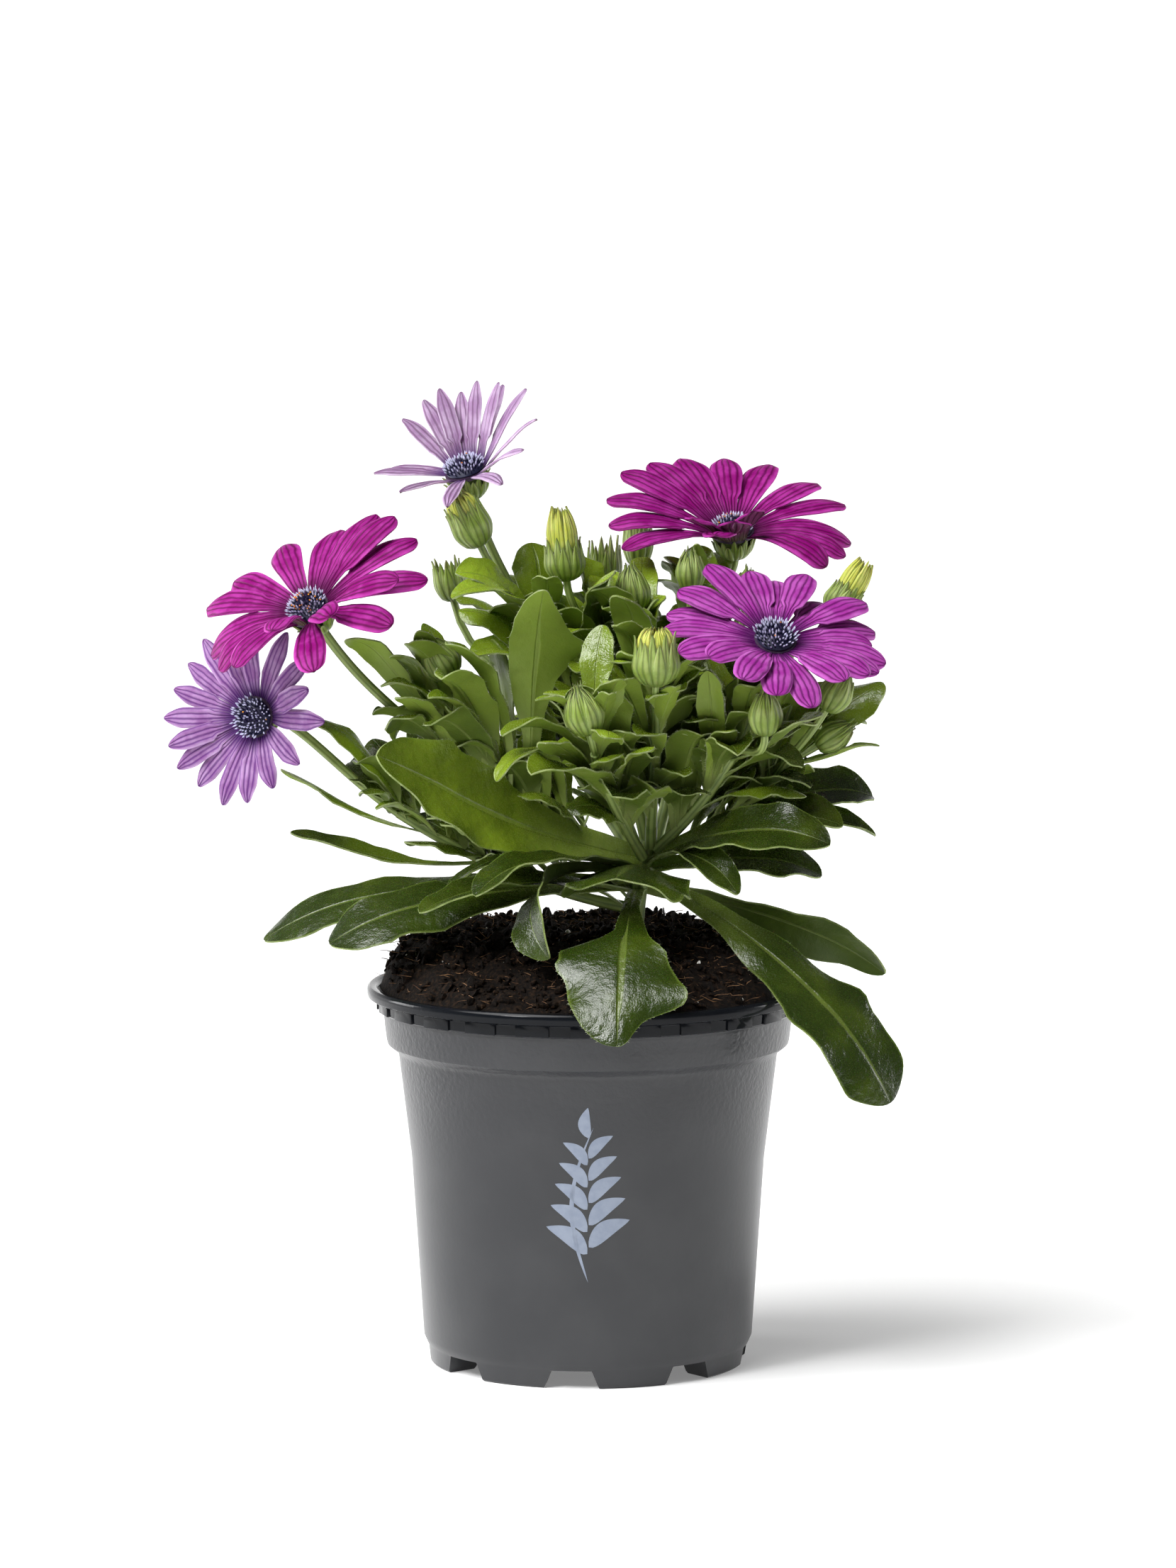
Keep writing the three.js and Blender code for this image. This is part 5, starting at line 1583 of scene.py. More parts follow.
    def crowd(self) -> None:
        """Add the smaller leaves that stand close between the others."""
        self.room.own, self.room.other = self.crowd_gaps
        for name, stalk in self.stalks.items():
            tall = stalk.curve.at(1.0)[2] > self.tall
            count = self.extra * 2 if tall else self.extra
            for k in range(count):
                at = (0.35 if tall else 0.16) + (0.65 if tall else 0.84) * (k + self.rng.uniform()) / count
                azimuth = 137.5 * k + self.rng.uniform(0, 360)
                length = self.rng.uniform(24, 42) * (1.12 - 0.4 * at)
                self.crowding_leaf(name, stalk, at, azimuth, length)

    def crowding_leaf(self, name: str, stalk: Stalk, at: float, azimuth: float, length: float) -> None:
        """Find room for one of the smaller leaves, near the way that it points first, or leave it out."""
        root = stalk.curve.at(at)
        forward = stalk.curve.tangent(at)
        e1, e2 = across(forward)
        width = self.rng.uniform(8, 14)
        curl, roll = self.rng.uniform(25, 85), self.rng.uniform(-30, 30)
        ahead = unit(forward + UP * self.rng.uniform(0.3, 1.1))
        aside = self.rng.uniform(0.15, 0.55) if at > 0.6 else self.rng.uniform(0.35, 0.7)
        for n in range(self.tries):
            out = around(e1, e2, azimuth + self.swing(n))
            reach = length * (1 - 0.018 * n)
            tip = root + ahead * reach * (1.15 - aside * 0.6) + out * reach * aside
            row = Leaf(at, *tip, width, curl, roll, "spoon" if n % 3 else "oval")
            inside = (self.crowd_low < tip[2] < self.crowd_high
                      and math.hypot(tip[0], tip[1]) < self.crowd_reach)
            if inside and self.grows(name, stalk, row):
                return

    def shade_of(self, row: Leaf) -> float:
        """Give a leaf's shade: young and light at the top, darker below, partly for older leaves and partly
        as painted shade in the bush's lower parts.
        """
        height = (row.z - self.dark_below) / self.light_over
        small = np.clip((15 - row.width) / 8, -0.6, 1)
        return float(np.clip(0.08 + 0.66 * height + 0.2 * small + self.rng.normal(0, 0.15), 0.08, 1))

    def foliage(self, name: str, stalk: Stalk, rows: list[Leaf]) -> list[Piece]:
        """Lay a node's leaves out as one piece, and the hairs along their edges as another."""
        copies = [self.leaf_maker.lay(stalk, row, self.shade_of(row)) for row in rows]
        piece = self.bench.lay(f"{name}_leaves", copies, self.finishes.green)
        self.bench.thicken(piece, self.leaf_maker.thickness, under=1, rim=2)
        hairs = [self.bench.fringe(copy, self.rng, self.hairs, 0.6, 5) for copy in copies]
        return [piece, self.bench.lay(f"{name}_down", hairs, self.finishes.green)]

    def stem_line(self, curve: Curve, start: float, end: float, radius: float, steps: int,
                  taper: float = 0.85) -> Copy:
        """Lay a closed stalk out along a stretch of a curve."""
        t = np.linspace(start, end, steps + 1)
        line = curve.at(np.concatenate([[start], t, [end]]))
        line[0] -= curve.tangent(start) * 0.01
        line[-1] += curve.tangent(end) * 0.01
        radii = radius * (1 + (taper - 1) * np.linspace(0, 1, steps + 1))
        return self.bench.tube(line, np.concatenate([[0], radii, [0]]), 10, 0.5, 3)

    def crown(self) -> Piece:
        """Build the trunk, the stubs of its branches and the basal leaves."""
        leaves = self.foliage("crown", self.trunk, self.basal)
        copies = [self.stem_line(self.trunk.curve, 0, 1, self.trunk_radius, 16, 0.9)]
        for stalk in self.stalks.values():
            copies.append(self.stem_line(stalk.curve, 0, self.stub, self.stem_radius * 1.05, 4, 1))
        wood = self.bench.lay("crown_wood", copies, self.finishes.green)
        return self.finished("crown_foliage", ["crown"], "leaf", *leaves, wood)

    def stem(self, name: str) -> Piece:
        """Build one leafy stem with its stalks, green buds and cups."""
        stalk = self.stalks[name]
        parts = []
        if self.leaves[name]:
            parts += self.foliage(name, stalk, self.leaves[name])
        solid = [self.stem_line(stalk.curve, self.stub, 1, self.stem_radius, 18)]
        bracts = []
        for bud in self.buds[name]:
            solid.append(self.stem_line(self.bud_stalk(stalk, bud), 0, 1, self.bud_radius, 10, 1.15))
            solid.append(bud.body(4))
            bracts += bud.husk().copies(self.rng, 0)
        for bloom in self.blooms:
            if BLOOMS[bloom.key]["stem"] == name:
                solid.append(self.stem_line(self.flower_stalk(stalk, bloom), 0, 1,
                                            self.flower_radius, 20, 1.1))
                solid.append(bloom.cup(4))
                bracts += bloom.husk().copies(self.rng, 0)
        parts.append(self.bench.lay(f"{name}_stalks", solid, self.finishes.green))
        if bracts:
            hull = self.bench.lay(f"{name}_bracts", bracts, self.finishes.bracts)
            self.bench.thicken(hull, 0.3)
            hairs = [self.bench.fringe(copy, self.rng, self.hairs, 0.4, 1) for copy in bracts]
            parts += [hull, self.bench.lay(f"{name}_bract_down", hairs, self.finishes.bracts)]
        return self.finished(f"{name}_foliage", [name], "leaf", *parts)

    def finished(self, name: str, nodes: list[str], slot: str, *parts: Piece) -> Piece:
        """Join parts and put them in the place of the nodes that they stand for."""
        piece = self.bench.smooth(self.bench.joined(name, *parts))
        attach(piece, "root")
        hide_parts(*nodes)
        log.info("%s: %d faces", name, len(piece.data.polygons))
        return piece

    def bloom_petals(self, bloom: Bloom) -> Piece:
        """Build a bloom's petals."""
        name = f"bloom_{bloom.key}_petals"
        colour = BLOOMS[bloom.key]["colour"]
        ring = [bloom.petal(order) for order in range(len(bloom.rows))]
        piece = self.bench.lay(f"{name}_fine", ring, self.finishes.blooms[bloom.key])
        self.bench.thicken(piece, bloom.thickness, under=1)
        plate = self.bench.lay(f"{name}_plate", [bloom.plate_copy()], self.finishes.plate)
        return self.finished(f"{name}_fine", [name], f"{colour}_petal", piece, plate)

    def bloom_disc(self, bloom: Bloom) -> Piece:
        """Build a bloom's disc."""
        name = f"bloom_{bloom.key}_disc"
        copies = bloom.disc() + bloom.pollen()
        piece = self.bench.lay(f"{name}_fine", copies, self.finishes.disc)
        return self.finished(f"{name}_fine", [name], "disc_florets", piece)

    def tuft(self, name: str, bud: Bud) -> Piece:
        """Build the yellow petals of an opening bud."""
        piece = self.bench.lay(f"{name}_tuft", bud.tuft(self.rng), self.finishes.tuft)
        self.bench.thicken(piece, 0.35)
        return self.finished(f"{name}_tuft", [f"{name}_bud_petals"], "bud_petal", piece)

    def build(self) -> None:
        """Build every piece of the plant."""
        self.crown()
        for name in STEMS:
            self.stem(name)
            for bud in self.buds[name]:
                if bud.row.yellow > 0:
                    self.tuft(name, bud)
        for bloom in self.blooms:
            self.bloom_petals(bloom)
            self.bloom_disc(bloom)


# ---- the pot
@dataclass
class Pot:
    """The moulded nursery pot, with its grip pads, its notched foot and its drain holes."""

    bench: Workbench
    height: float = 112
    foot_radius: float = 46.6
    foot_inner: float = 36
    foot_height: float = 5.4
    steps: int = 240
    neck_foot: float = 104.9
    pads: int = 24
    pad_width: float = 10
    pad_root: float = 60.5
    pad_out: float = 62.1
    pad_low: float = 104.95
    pad_high: float = 108.4
    feet: int = 8
    first_gap: float = -96
    gap_top: float = 12
    gap_foot: float = 17
    drain_radius: float = 4
    drain_ring: float = 30

    def profile(self) -> list[tuple[float, float]]:
        """Give the pot's section, from under its middle, out, up and back down inside."""
        return [
            (0, 5.4), (35.2, 5.4), (36, 4.9), (36.7, 0.7), (37.4, 0), (46.0, 0), (46.6, 0.5),
            (47.1, 5.0), (47.6, 5.9), (48.5, 8), (50.2, 34), (52, 61), (53.7, 75), (55.3, 88),
            (55.7, 91.4), (56.0, 92.3), (56.7, 93.1), (58.2, 94.2), (59.0, 94.9), (59.3, 95.9),
            (59.8, 100), (60.2, 103.9), (60.35, 104.4), (60.7, 104.7), (61.3, 104.8), (61.6, 105.1),
            (61.65, 106.2), (61.7, 107.9), (61.9, 108.2), (62.6, 108.35), (64.2, 108.5), (64.8, 108.9),
            (65, 109.6), (65, 111.0), (64.75, 111.6), (64.2, 112), (62.8, 112), (62.3, 111.7),
            (59.8, 108.2), (58.7, 104.5), (57.7, 96), (54, 91.2), (50.4, 61), (46.6, 7.4), (46.2, 7.2),
            (0, 7.2),
        ]

    def turned(self) -> Piece:
        """Spin the section round the pot's axis, from a ring of corners laid along it."""
        profile = self.profile()
        bpy.ops.object.select_all(action="DESELECT")
        bpy.ops.mesh.primitive_circle_add(vertices=len(profile), radius=1, fill_type="NOTHING")
        ring = bpy.context.object
        for corner, (r, z) in zip(ring.data.vertices, profile):
            corner.co = Vector((r * MM, 0, z * MM))
        bpy.ops.object.mode_set(mode="EDIT")
        bpy.ops.mesh.select_all(action="SELECT")
        bpy.ops.mesh.spin(steps=self.steps, angle=2 * math.pi, center=(0, 0, 0), axis=(0, 0, 1))
        bpy.ops.mesh.select_all(action="SELECT")
        bpy.ops.mesh.remove_doubles(threshold=TINY * 10)
        bpy.ops.mesh.normals_make_consistent(inside=False)
        bpy.ops.object.mode_set(mode="OBJECT")
        return ring

    def pad(self, turn: float) -> Piece:
        """Model one grip pad of the neck as a block with softened edges."""
        bpy.ops.object.select_all(action="DESELECT")
        size = Vector((self.pad_out - self.pad_root, self.pad_width, self.pad_high - self.pad_low)) * MM
        angle = math.radians(turn)
        middle = (self.pad_out + self.pad_root) / 2 * MM
        bpy.ops.mesh.primitive_cube_add(size=1, scale=size, rotation=(0, 0, angle), location=(
            middle * math.cos(angle), middle * math.sin(angle), (self.pad_high + self.pad_low) / 2 * MM))
        block = bpy.context.object
        bpy.ops.object.transform_apply(location=True, rotation=True, scale=True)
        edge = block.modifiers.new("edge", "BEVEL")
        edge.width = 0.15 * MM
        edge.segments = 2
        bpy.ops.object.modifier_apply(modifier=edge.name)
        return block

    def cutter(self, turn: float) -> Piece:
        """Model one gap of the foot as a block that is wider at the ground."""
        bpy.ops.object.select_all(action="DESELECT")
        bpy.ops.mesh.primitive_cube_add(size=1)
        block = bpy.context.object
        inner, outer = self.foot_inner - 2, self.foot_radius + 6
        for corner in block.data.vertices:
            top = corner.co.z > 0
            half = (self.gap_top if top else self.gap_foot) / 2
            x = outer if corner.co.x > 0 else inner
            y = half if corner.co.y > 0 else -half
            place = Vector((x, y, self.foot_height - 0.02 if top else -1.0)) * MM
            angle = math.radians(turn)
            corner.co = Vector((place.x * math.cos(angle) - place.y * math.sin(angle),
                                place.x * math.sin(angle) + place.y * math.cos(angle), place.z))
        return block

    def drain(self, turn: float) -> Piece:
        """Model one drain hole's plug."""
        bpy.ops.object.select_all(action="DESELECT")
        angle = math.radians(turn)
        place = (self.drain_ring * math.cos(angle) * MM, self.drain_ring * math.sin(angle) * MM,
                 self.foot_height * MM)
        bpy.ops.mesh.primitive_cylinder_add(vertices=24, radius=self.drain_radius * MM, depth=12 * MM,
                                            location=place)
        plug = bpy.context.object
        bpy.ops.object.transform_apply(location=True)
        return plug

    def carve(self, pot: Piece, blocks: list[Piece], operation: str) -> None:
        """Cut blocks out of the pot, or unite them with it."""
        tool = self.bench.joined("blocks", *blocks)
        self.bench.pick(pot)
        saw = pot.modifiers.new("carving", "BOOLEAN")
        saw.operation = operation
        saw.solver = "EXACT"
        saw.object = tool
        bpy.ops.object.modifier_apply(modifier=saw.name)
        bpy.data.objects.remove(tool)

    def build(self, plastic: list[Material]) -> Piece:
        """Build the pot.

        Args:
            plastic: the finishes of its wall, and of its rim and neck, the second with a darker colour that
                paints the shade under the rim.

        Returns:
            The pot, in the place of its CAD node.
        """
        pot = self.turned()
        self.carve(pot, [self.pad(i * 360 / self.pads) for i in range(self.pads)], "UNION")
        turns = [self.first_gap + i * 360 / self.feet for i in range(self.feet)]
        self.carve(pot, [self.cutter(t) for t in turns] + [self.drain(t) for t in turns], "DIFFERENCE")
        for corner in pot.data.vertices:
            corner.co += Vector(POT_AXIS) * MM
        pot.data.materials.clear()
        for finish in plastic:
            pot.data.materials.append(finish)
        # Faces above the neck's foot take the second finish, whose darker colour is painted shade.
        for face in pot.data.polygons:
            face.material_index = int(face.center.z > self.neck_foot * MM)
        self.bench.joined("nursery_pot", pot)
        self.bench.smooth(pot, 32)
        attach(pot, "root")
        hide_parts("pot")
        log.info("nursery_pot: %d faces", len(pot.data.polygons))
        return pot


@dataclass
class Sprig:
    """The leafy sprig printed on the pot's wall."""

    bench: Workbench
    foot: float = 32
    length: float = 46
    pairs: int = 5
    proud: float = 0.06
    wall: tuple = ((34, 50.2), (61, 52), (75, 53.7), (88, 55.3))

    def on_wall(self, x: Array, z: Array) -> Array:
        """Lay flat places on the front of the pot's wall."""
        heights, radii = zip(*self.wall)
        r = np.interp(z, heights, radii) + self.proud
        turn = x / r
        return np.stack([r * np.sin(turn), -r * np.cos(turn), z], axis=1)

    def blade(self, x: float, z: float, lean: float, long: float, wide: float) -> Copy:
        """Lay one printed leaf out.

        Args:
            x: its foot, across the wall.
            z: its foot's height.
            lean: the way that it points, in degrees from straight up.
            long: its length.
            wide: its width.

        Returns:
            The laid-out copy.
        """
        sheet = self.bench.sheet(6, 16)
        side = 2 * sheet.s - 1
        half = wide / 2 * np.sin(math.pi * sheet.t**0.8) ** 0.8
        bend = 0.12 * long * np.sin(math.pi * sheet.t) * (1 if lean < 0 else -1)
        turn = math.radians(lean)
        out = side * half + bend
        return Copy(sheet, self.on_wall(x + long * sheet.t * math.sin(turn) + out * math.cos(turn),
                                        z + long * sheet.t * math.cos(turn) - out * math.sin(turn)))

    def build(self, ink: Material) -> Piece:
        """Build the print."""
        copies = [self.blade(0, self.foot, 2, self.length, 1.3)]
        for k in range(self.pairs):
            share = (k + 0.6) / (self.pairs + 0.6)
            z = self.foot + self.length * (0.12 + 0.8 * share)
            long = 15 - 6.5 * share
            for hand in (-1, 1):
                lean = hand * (58 - 14 * share)
                copies.append(self.blade(0.2 * hand, z + hand, lean, long, long * 0.36))
        copies.append(self.blade(0, self.foot + self.length * 0.93, 0, 9, 3.6))
        piece = self.bench.lay("sprig_print", copies, [ink])
        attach(piece, "root")
        log.info("sprig_print: %d faces", len(piece.data.polygons))
        return piece


# ---- the peat
@dataclass
class Peat:
    """The peat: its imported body, and the crumbs, fibres and perlite on it."""

    bench: Workbench
    edge: float = 111.2
    rise: float = 15
    back: float = 3
    front: float = 22
    lump: float = 0.7
    brim: float = 61.2
    crumbs: int = 2400
    fibres: int = 1100
    perlite: int = 60
    rough: float = 1.5
    rng: np.random.Generator = field(default_factory=lambda: np.random.default_rng(3))

    def height(self, x: Array, y: Array) -> Array:
        """Give the height of the peat's dome at a place."""
        reach = np.hypot(x, y)
        facing = np.where(reach > 0, (1 - y / np.maximum(reach, TINY)) / 2, 0.5)
        slope = self.back + self.front * facing**4
        dome = self.rise * (1 - np.exp(-(self.brim - reach) / slope))
        return self.edge + dome + self.lump * np.sin(0.35 * x + 1) * np.cos(0.31 * y + 0.5)

    def ruffled(self, x: Array, y: Array) -> Array:
        """Give the height of the peat's lumpy surface at a place."""
        reach = np.hypot(x, y)
        lumps = np.array([noise.fractal(Vector((a * 0.16, b * 0.16, 3.0)), 0.7, 2.2, 4)
                          for a, b in zip(x, y)])
        grain = np.array([noise.noise(Vector((a * 0.9, b * 0.9, 7.0))) for a, b in zip(x, y)])
        calm = np.clip((self.brim - reach) / 4, 0, 1) * np.clip((reach - 18) / 6, 0, 1)
        return self.height(x, y) + (self.rough * lumps + 0.5 * grain) * calm

    def body(self) -> Copy:
        """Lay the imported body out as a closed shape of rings."""
        wall = [(0, 7.5), (46, 7.5), (49.7, 61), (53.2, 90.6), (56.9, 96.4), (58.7, 108), (61.2, 111.2)]
        steps = 44
        rings = len(wall) + steps
        sheet = self.bench.sheet(160, rings - 1)
        row = np.rint(sheet.t * (rings - 1)).astype(int)
        turn = 2 * math.pi * sheet.s
        inward = self.brim * (1 - np.arange(1, steps + 1) / steps) ** 0.9
        radii = np.concatenate([[r for r, _ in wall], inward])
        r = radii[row]
        x, y = r * np.cos(turn), r * np.sin(turn)
        levels = np.array([z for _, z in wall] + [0] * steps)
        z = np.where(row < len(wall), levels[row], 0)
        top = row >= len(wall)
        z[top] = self.ruffled(x[top], y[top])
        return Copy(sheet, np.stack([x, y, z], axis=1), 0.45)

    def spots(self, count: int, inner: float = 0) -> tuple[Array, Array, Array]:
        """Scatter places over the peat's top."""
        turn = self.rng.uniform(0, 2 * math.pi, count)
        reach = np.sqrt(self.rng.uniform(inner**2, (self.brim - 1.2) ** 2, count))
        x, y = reach * np.cos(turn), reach * np.sin(turn)
        return x, y, self.ruffled(x, y)

    def lumps(self, count: int, low: float, high: float, shade: tuple[float, float],
              material: int) -> list[Copy]:
        """Lay small rough lumps out over the peat, within a range of radii and of shades."""
        sheet = self.bench.sheet(5, 4)
        turn = 2 * math.pi * sheet.s
        polar = math.pi * sheet.t
        ball = np.stack([np.sin(polar) * np.cos(turn), np.sin(polar) * np.sin(turn), -np.cos(polar)],
                        axis=1)
        made = []
        for x, y, z in zip(*self.spots(count)):
            size = low + (high - low) * self.rng.uniform() ** 2.2
            form = self.rng.normal(0, 0.35, (3, 3)) + np.eye(3)
            points = ball @ form * size
            made.append(Copy(sheet, points + [x, y, z + size * 0.25], self.rng.uniform(*shade), material))
        return made

    def strands(self) -> list[Copy]:
        """Lay loose fibres and twigs out over the peat."""
        made = []
        for x, y, z in zip(*self.spots(self.fibres)):
            turn = self.rng.uniform(0, 2 * math.pi)
            long = self.rng.uniform(1.5, 6)
            way = np.array([math.cos(turn), math.sin(turn), self.rng.uniform(-0.1, 0.45)])
            start = np.array([x, y, z + 0.3])
            bend = self.rng.normal(0, long * 0.2, 3)
            curve = Curve(start, start + way * long * 0.3 + bend, start + way * long * 0.7 - bend * 0.5,
                          start + way * long)
            radii = self.rng.uniform(0.05, 0.16) * np.array([0, 1, 1, 0.9, 0.7, 0])
            made.append(self.bench.tube(curve.at(np.linspace(0, 1, 6)), radii, 3,
                                        self.rng.uniform(0.3, 1.0), 1))
        return made

    def build(self, materials: list[Material]) -> Piece:
        """Build the peat.

        Args:
            materials: the finishes of peat, fibre and perlite.

        Returns:
            The peat, in the place of its CAD node.
        """
        copies = [self.body()]
        copies += self.lumps(self.crumbs, 0.3, 1.6, (0.1, 1.0), 0)
        copies += self.strands()
        copies += self.lumps(self.perlite, 0.2, 0.9, (0.5, 1.0), 2)
        piece = self.bench.lay("peat_fill", copies, materials)
        self.bench.smooth(piece, 60)
        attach(piece, "root")
        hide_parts("soil")
        log.info("peat_fill: %d faces", len(piece.data.polygons))
        return piece


# ---- all the finishes
class Dresser:
    """Mixes every finish once and hands them to the pieces."""

    def __init__(self) -> None:
        """Mix them all."""
        patterns = Patterns()
        upper = LeafFinish("leaf_upper", (0.018, 0.033, 0.002, 1), (0.26, 0.37, 0.022, 1),
                           (0.25, 0.33, 0.065, 1), (0.2, 0.28, 0.05, 1), 0.26, gloss=0.6)
        under = LeafFinish("leaf_under", (0.06, 0.095, 0.012, 1), (0.23, 0.32, 0.045, 1),
                           (0.29, 0.36, 0.11, 1), (0.24, 0.31, 0.09, 1), 0.42, relief=0.6, gloss=0.25)
        rim = PlainFinish("leaf_rim", (0.16, 0.22, 0.05, 1), (0.28, 0.34, 0.12, 1), 0.5)
        bract = PetalFinish("bract_green", (0.2, 0.28, 0.045, 1), (0.46, 0.53, 0.22, 1),
                            (0.03, 0.055, 0.006, 1), (0.1, 0.15, 0.02, 1), 6.3, 0.5, 0.4, 0.25)
        body = PlainFinish("bud_body", (0.06, 0.1, 0.015, 1), (0.14, 0.2, 0.04, 1), 0.5)
        down = PlainFinish("pale_down", (0.42, 0.47, 0.27, 1), (0.6, 0.64, 0.45, 1), 0.6).material()
        self.green = [upper.material(patterns), under.material(patterns), rim.material(),
                      StalkFinish().material(), body.material(), down]
        self.bracts = [bract.material(patterns), down]
        self.disc = [FloretFinish().material(),
                     PlainFinish("pollen", (0.75, 0.2, 0.02, 1), (0.85, 0.35, 0.04, 1), 0.8).material()]
        yellow = PetalFinish("bud_petal_yellow", (0.5, 0.52, 0.07, 1), (0.76, 0.75, 0.3, 1),
                             (0.2, 0.27, 0.03, 1), (0.2, 0.28, 0.04, 1), 6.3, 0.8, 0.45, 0.2)
        self.tuft = [yellow.material(patterns)]
        self.plate = [PlainFinish("petal_foot", (0.02, 0.008, 0.03, 1), (0.04, 0.015, 0.05, 1)).material()]
        self.blooms = self.mix_blooms(patterns)
        self.pot = [PlasticFinish().material(),
                    # The rim and neck finish: its darker colour is painted shade under the rim's overhang;
                    # its lower roughness is the rim's own gloss.
                    PlasticFinish("pot_rim_painted_shade", (0.005, 0.006, 0.008, 1), (0.008, 0.009, 0.011, 1),
                                  roughness=0.14, gloss=0.16).material()]
        self.ink = PlainFinish("print_ink", (0.22, 0.26, 0.34, 1), (0.26, 0.3, 0.38, 1), 0.55).material()
        self.peat = [PeatFinish().material(),
                     PlainFinish("peat_fibre", (0.05, 0.02, 0.008, 1), (0.2, 0.105, 0.045, 1),
                                 0.9).material(),
                     PlainFinish("perlite", (0.55, 0.53, 0.48, 1), (0.7, 0.68, 0.64, 1), 0.9).material()]

    @staticmethod
    def mix_blooms(patterns: Patterns) -> dict[str, list[Material]]:
        """Mix the upper and under finish of each bloom's petals."""
        magenta = PetalFinish("petal_magenta", (0.22, 0.003, 0.145, 1), (0.52, 0.06, 0.41, 1),
                              (0.08, 0.001, 0.04, 1), (0.05, 0.001, 0.03, 1)).material(patterns)
        violet = PetalFinish("petal_violet", (0.32, 0.03, 0.29, 1), (0.58, 0.16, 0.56, 1),
                             (0.1, 0.003, 0.09, 1), (0.05, 0.003, 0.07, 1)).material(patterns)
        lavender = PetalFinish("petal_lavender", (0.25, 0.11, 0.29, 1), (0.56, 0.38, 0.63, 1),
                               (0.1, 0.02, 0.17, 1), (0.035, 0.006, 0.09, 1), 12.6).material(patterns)
        pale = PetalFinish("petal_pale_lavender", (0.33, 0.2, 0.36, 1), (0.66, 0.54, 0.7, 1),
                           (0.13, 0.06, 0.13, 1), (0.045, 0.01, 0.11, 1), 9.4).material(patterns)
        dusk = PetalFinish("petal_under_magenta", (0.16, 0.03, 0.1, 1), (0.3, 0.1, 0.24, 1),
                           (0.05, 0.012, 0.03, 1), (0.07, 0.06, 0.03, 1)).material(patterns)
        brown = PetalFinish("petal_under_lavender", (0.2, 0.12, 0.16, 1), (0.42, 0.31, 0.44, 1),
                            (0.08, 0.05, 0.045, 1), (0.12, 0.1, 0.05, 1), 6.3).material(patterns)
        return {"a": [magenta, dusk], "b": [lavender, brown], "c": [pale, brown],
                "d": [magenta, dusk], "e": [violet, dusk]}


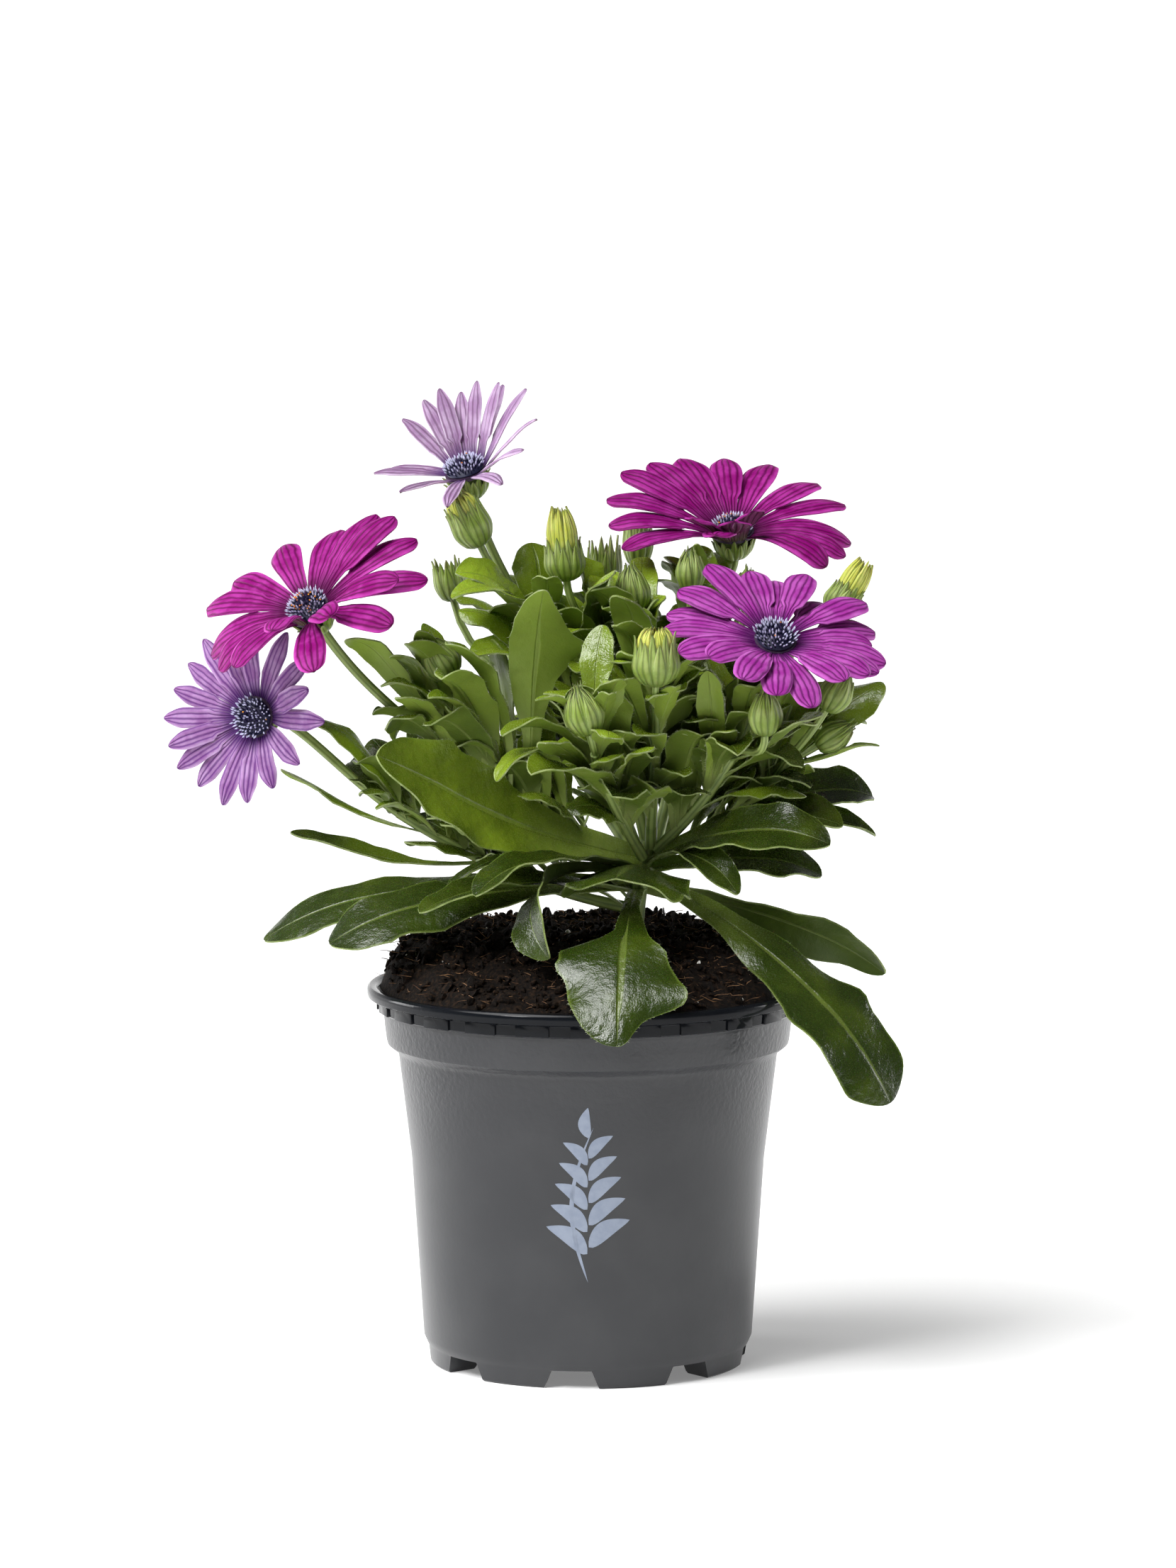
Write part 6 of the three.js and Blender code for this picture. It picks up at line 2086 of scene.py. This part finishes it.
# ---- the studio
@dataclass
class Studio:
    """The plain pale floor, the soft light and the camera."""

    camera_place: Point = (0, -1935, 390)
    pitch: float = 6.456
    focal: float = 9360
    image_height: int = 2212
    sensor: float = 36
    floor_size: float = 60
    lamp_way: Point = (-0.45, -0.3, 0.84)

    def floor(self) -> None:
        """Lay the floor."""
        bpy.ops.object.select_all(action="DESELECT")
        bpy.ops.mesh.primitive_plane_add(size=self.floor_size, location=(0, 0, 0))
        floor = bpy.context.object
        floor.name = "floor"
        material, _, shader = new_material("floor_white", (0.9, 0.9, 0.9, 1))
        shader.inputs["Base Color"].default_value = (0.9, 0.9, 0.9, 1)
        shader.inputs["Roughness"].default_value = 0.8
        shader.inputs["Specular IOR Level"].default_value = 0.1
        shader.inputs["Emission Color"].default_value = (1, 1, 1, 1)
        shader.inputs["Emission Strength"].default_value = 0.2
        floor.data.materials.append(material)

    def sky(self) -> None:
        """Light the room evenly, and more strongly from high on the left in front."""
        world = bpy.data.worlds.new("room")
        world.use_nodes = True
        bpy.context.scene.world = world
        nodes = Nodes(world.node_tree)
        background = next(n for n in world.node_tree.nodes if n.type == "BACKGROUND")
        way = nodes.add("ShaderNodeTexCoord").outputs["Generated"]
        level = nodes.add("ShaderNodeVectorMath", {0: way, 1: self.lamp_way}, operation="DOT_PRODUCT")
        lamp = nodes.fade(level.outputs["Value"], 0.88, 0.98)
        _, y, z = nodes.split(way)
        low = nodes.fade(nodes.math("ABSOLUTE", z), 0.55, 0.02)
        wall = nodes.math("MULTIPLY", nodes.fade(y, -0.3, 0.4), low)
        glow = nodes.math("ADD", nodes.math("MULTIPLY", lamp, 9.0), nodes.math("MULTIPLY", wall, 1.3))
        nodes.tree.links.new(nodes.math("ADD", glow, 0.07), background.inputs["Strength"])
        background.inputs["Color"].default_value = (1, 1, 1, 1)

    def lamp(self, name: str, place: Point, aim: Point, size: float, power: float) -> None:
        """Hang one soft square lamp.

        Args:
            name: its name.
            place: where it hangs, in metres.
            aim: what it points at.
            size: its side, in metres.
            power: in watts.
        """
        light = bpy.data.lights.new(name, "AREA")
        light.size = size
        light.energy = power
        lamp = bpy.data.objects.new(name, light)
        lamp.location = place
        lamp.rotation_euler = (Vector(aim) - Vector(place)).to_track_quat("-Z", "Y").to_euler()
        lamp.visible_camera = False
        bpy.context.scene.collection.objects.link(lamp)

    def camera(self) -> None:
        """Set the camera up."""
        lens = bpy.data.cameras.new("camera")
        lens.sensor_width = self.sensor
        lens.lens = self.focal * self.sensor / self.image_height
        lens.clip_end = 200
        camera = bpy.data.objects.new("camera", lens)
        camera.location = Vector((np.array(self.camera_place) + POT_AXIS) * MM)
        camera.rotation_euler = (math.radians(90 - self.pitch), 0, 0)
        bpy.context.scene.collection.objects.link(camera)
        bpy.context.scene.camera = camera

    def build(self) -> None:
        """Build the studio."""
        self.camera()
        self.floor()
        self.sky()
        self.lamp("key", (-0.8, -0.9, 1.0), (0, 0, 0.18), 0.3, 8)
        self.lamp("left", (-1.0, 0.4, 0.35), (0, 0, 0.1), 0.4, 4)
        self.lamp("right", (1.0, 0.4, 0.35), (0, 0, 0.1), 0.4, 3)
        view = bpy.context.scene.view_settings
        view.view_transform = "Standard"
        view.look = "None"


# ---- the whole
def corners(box: tuple[Vector, Vector]) -> list[list[float]]:
    """Give a box's two corners as plain lists."""
    return [list(corner) for corner in box]


def main() -> None:
    """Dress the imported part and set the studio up."""
    logging.basicConfig(level=logging.INFO, format="%(name)s: %(message)s")
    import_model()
    bench = Workbench()
    dresser = Dresser()
    Studio().build()
    Pot(bench).build(dresser.pot)
    Sprig(bench).build(dresser.ink)
    Peat(bench).build(dresser.peat)
    Plant(bench, dresser).build()
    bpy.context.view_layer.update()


if __name__ == "__main__":
    main()
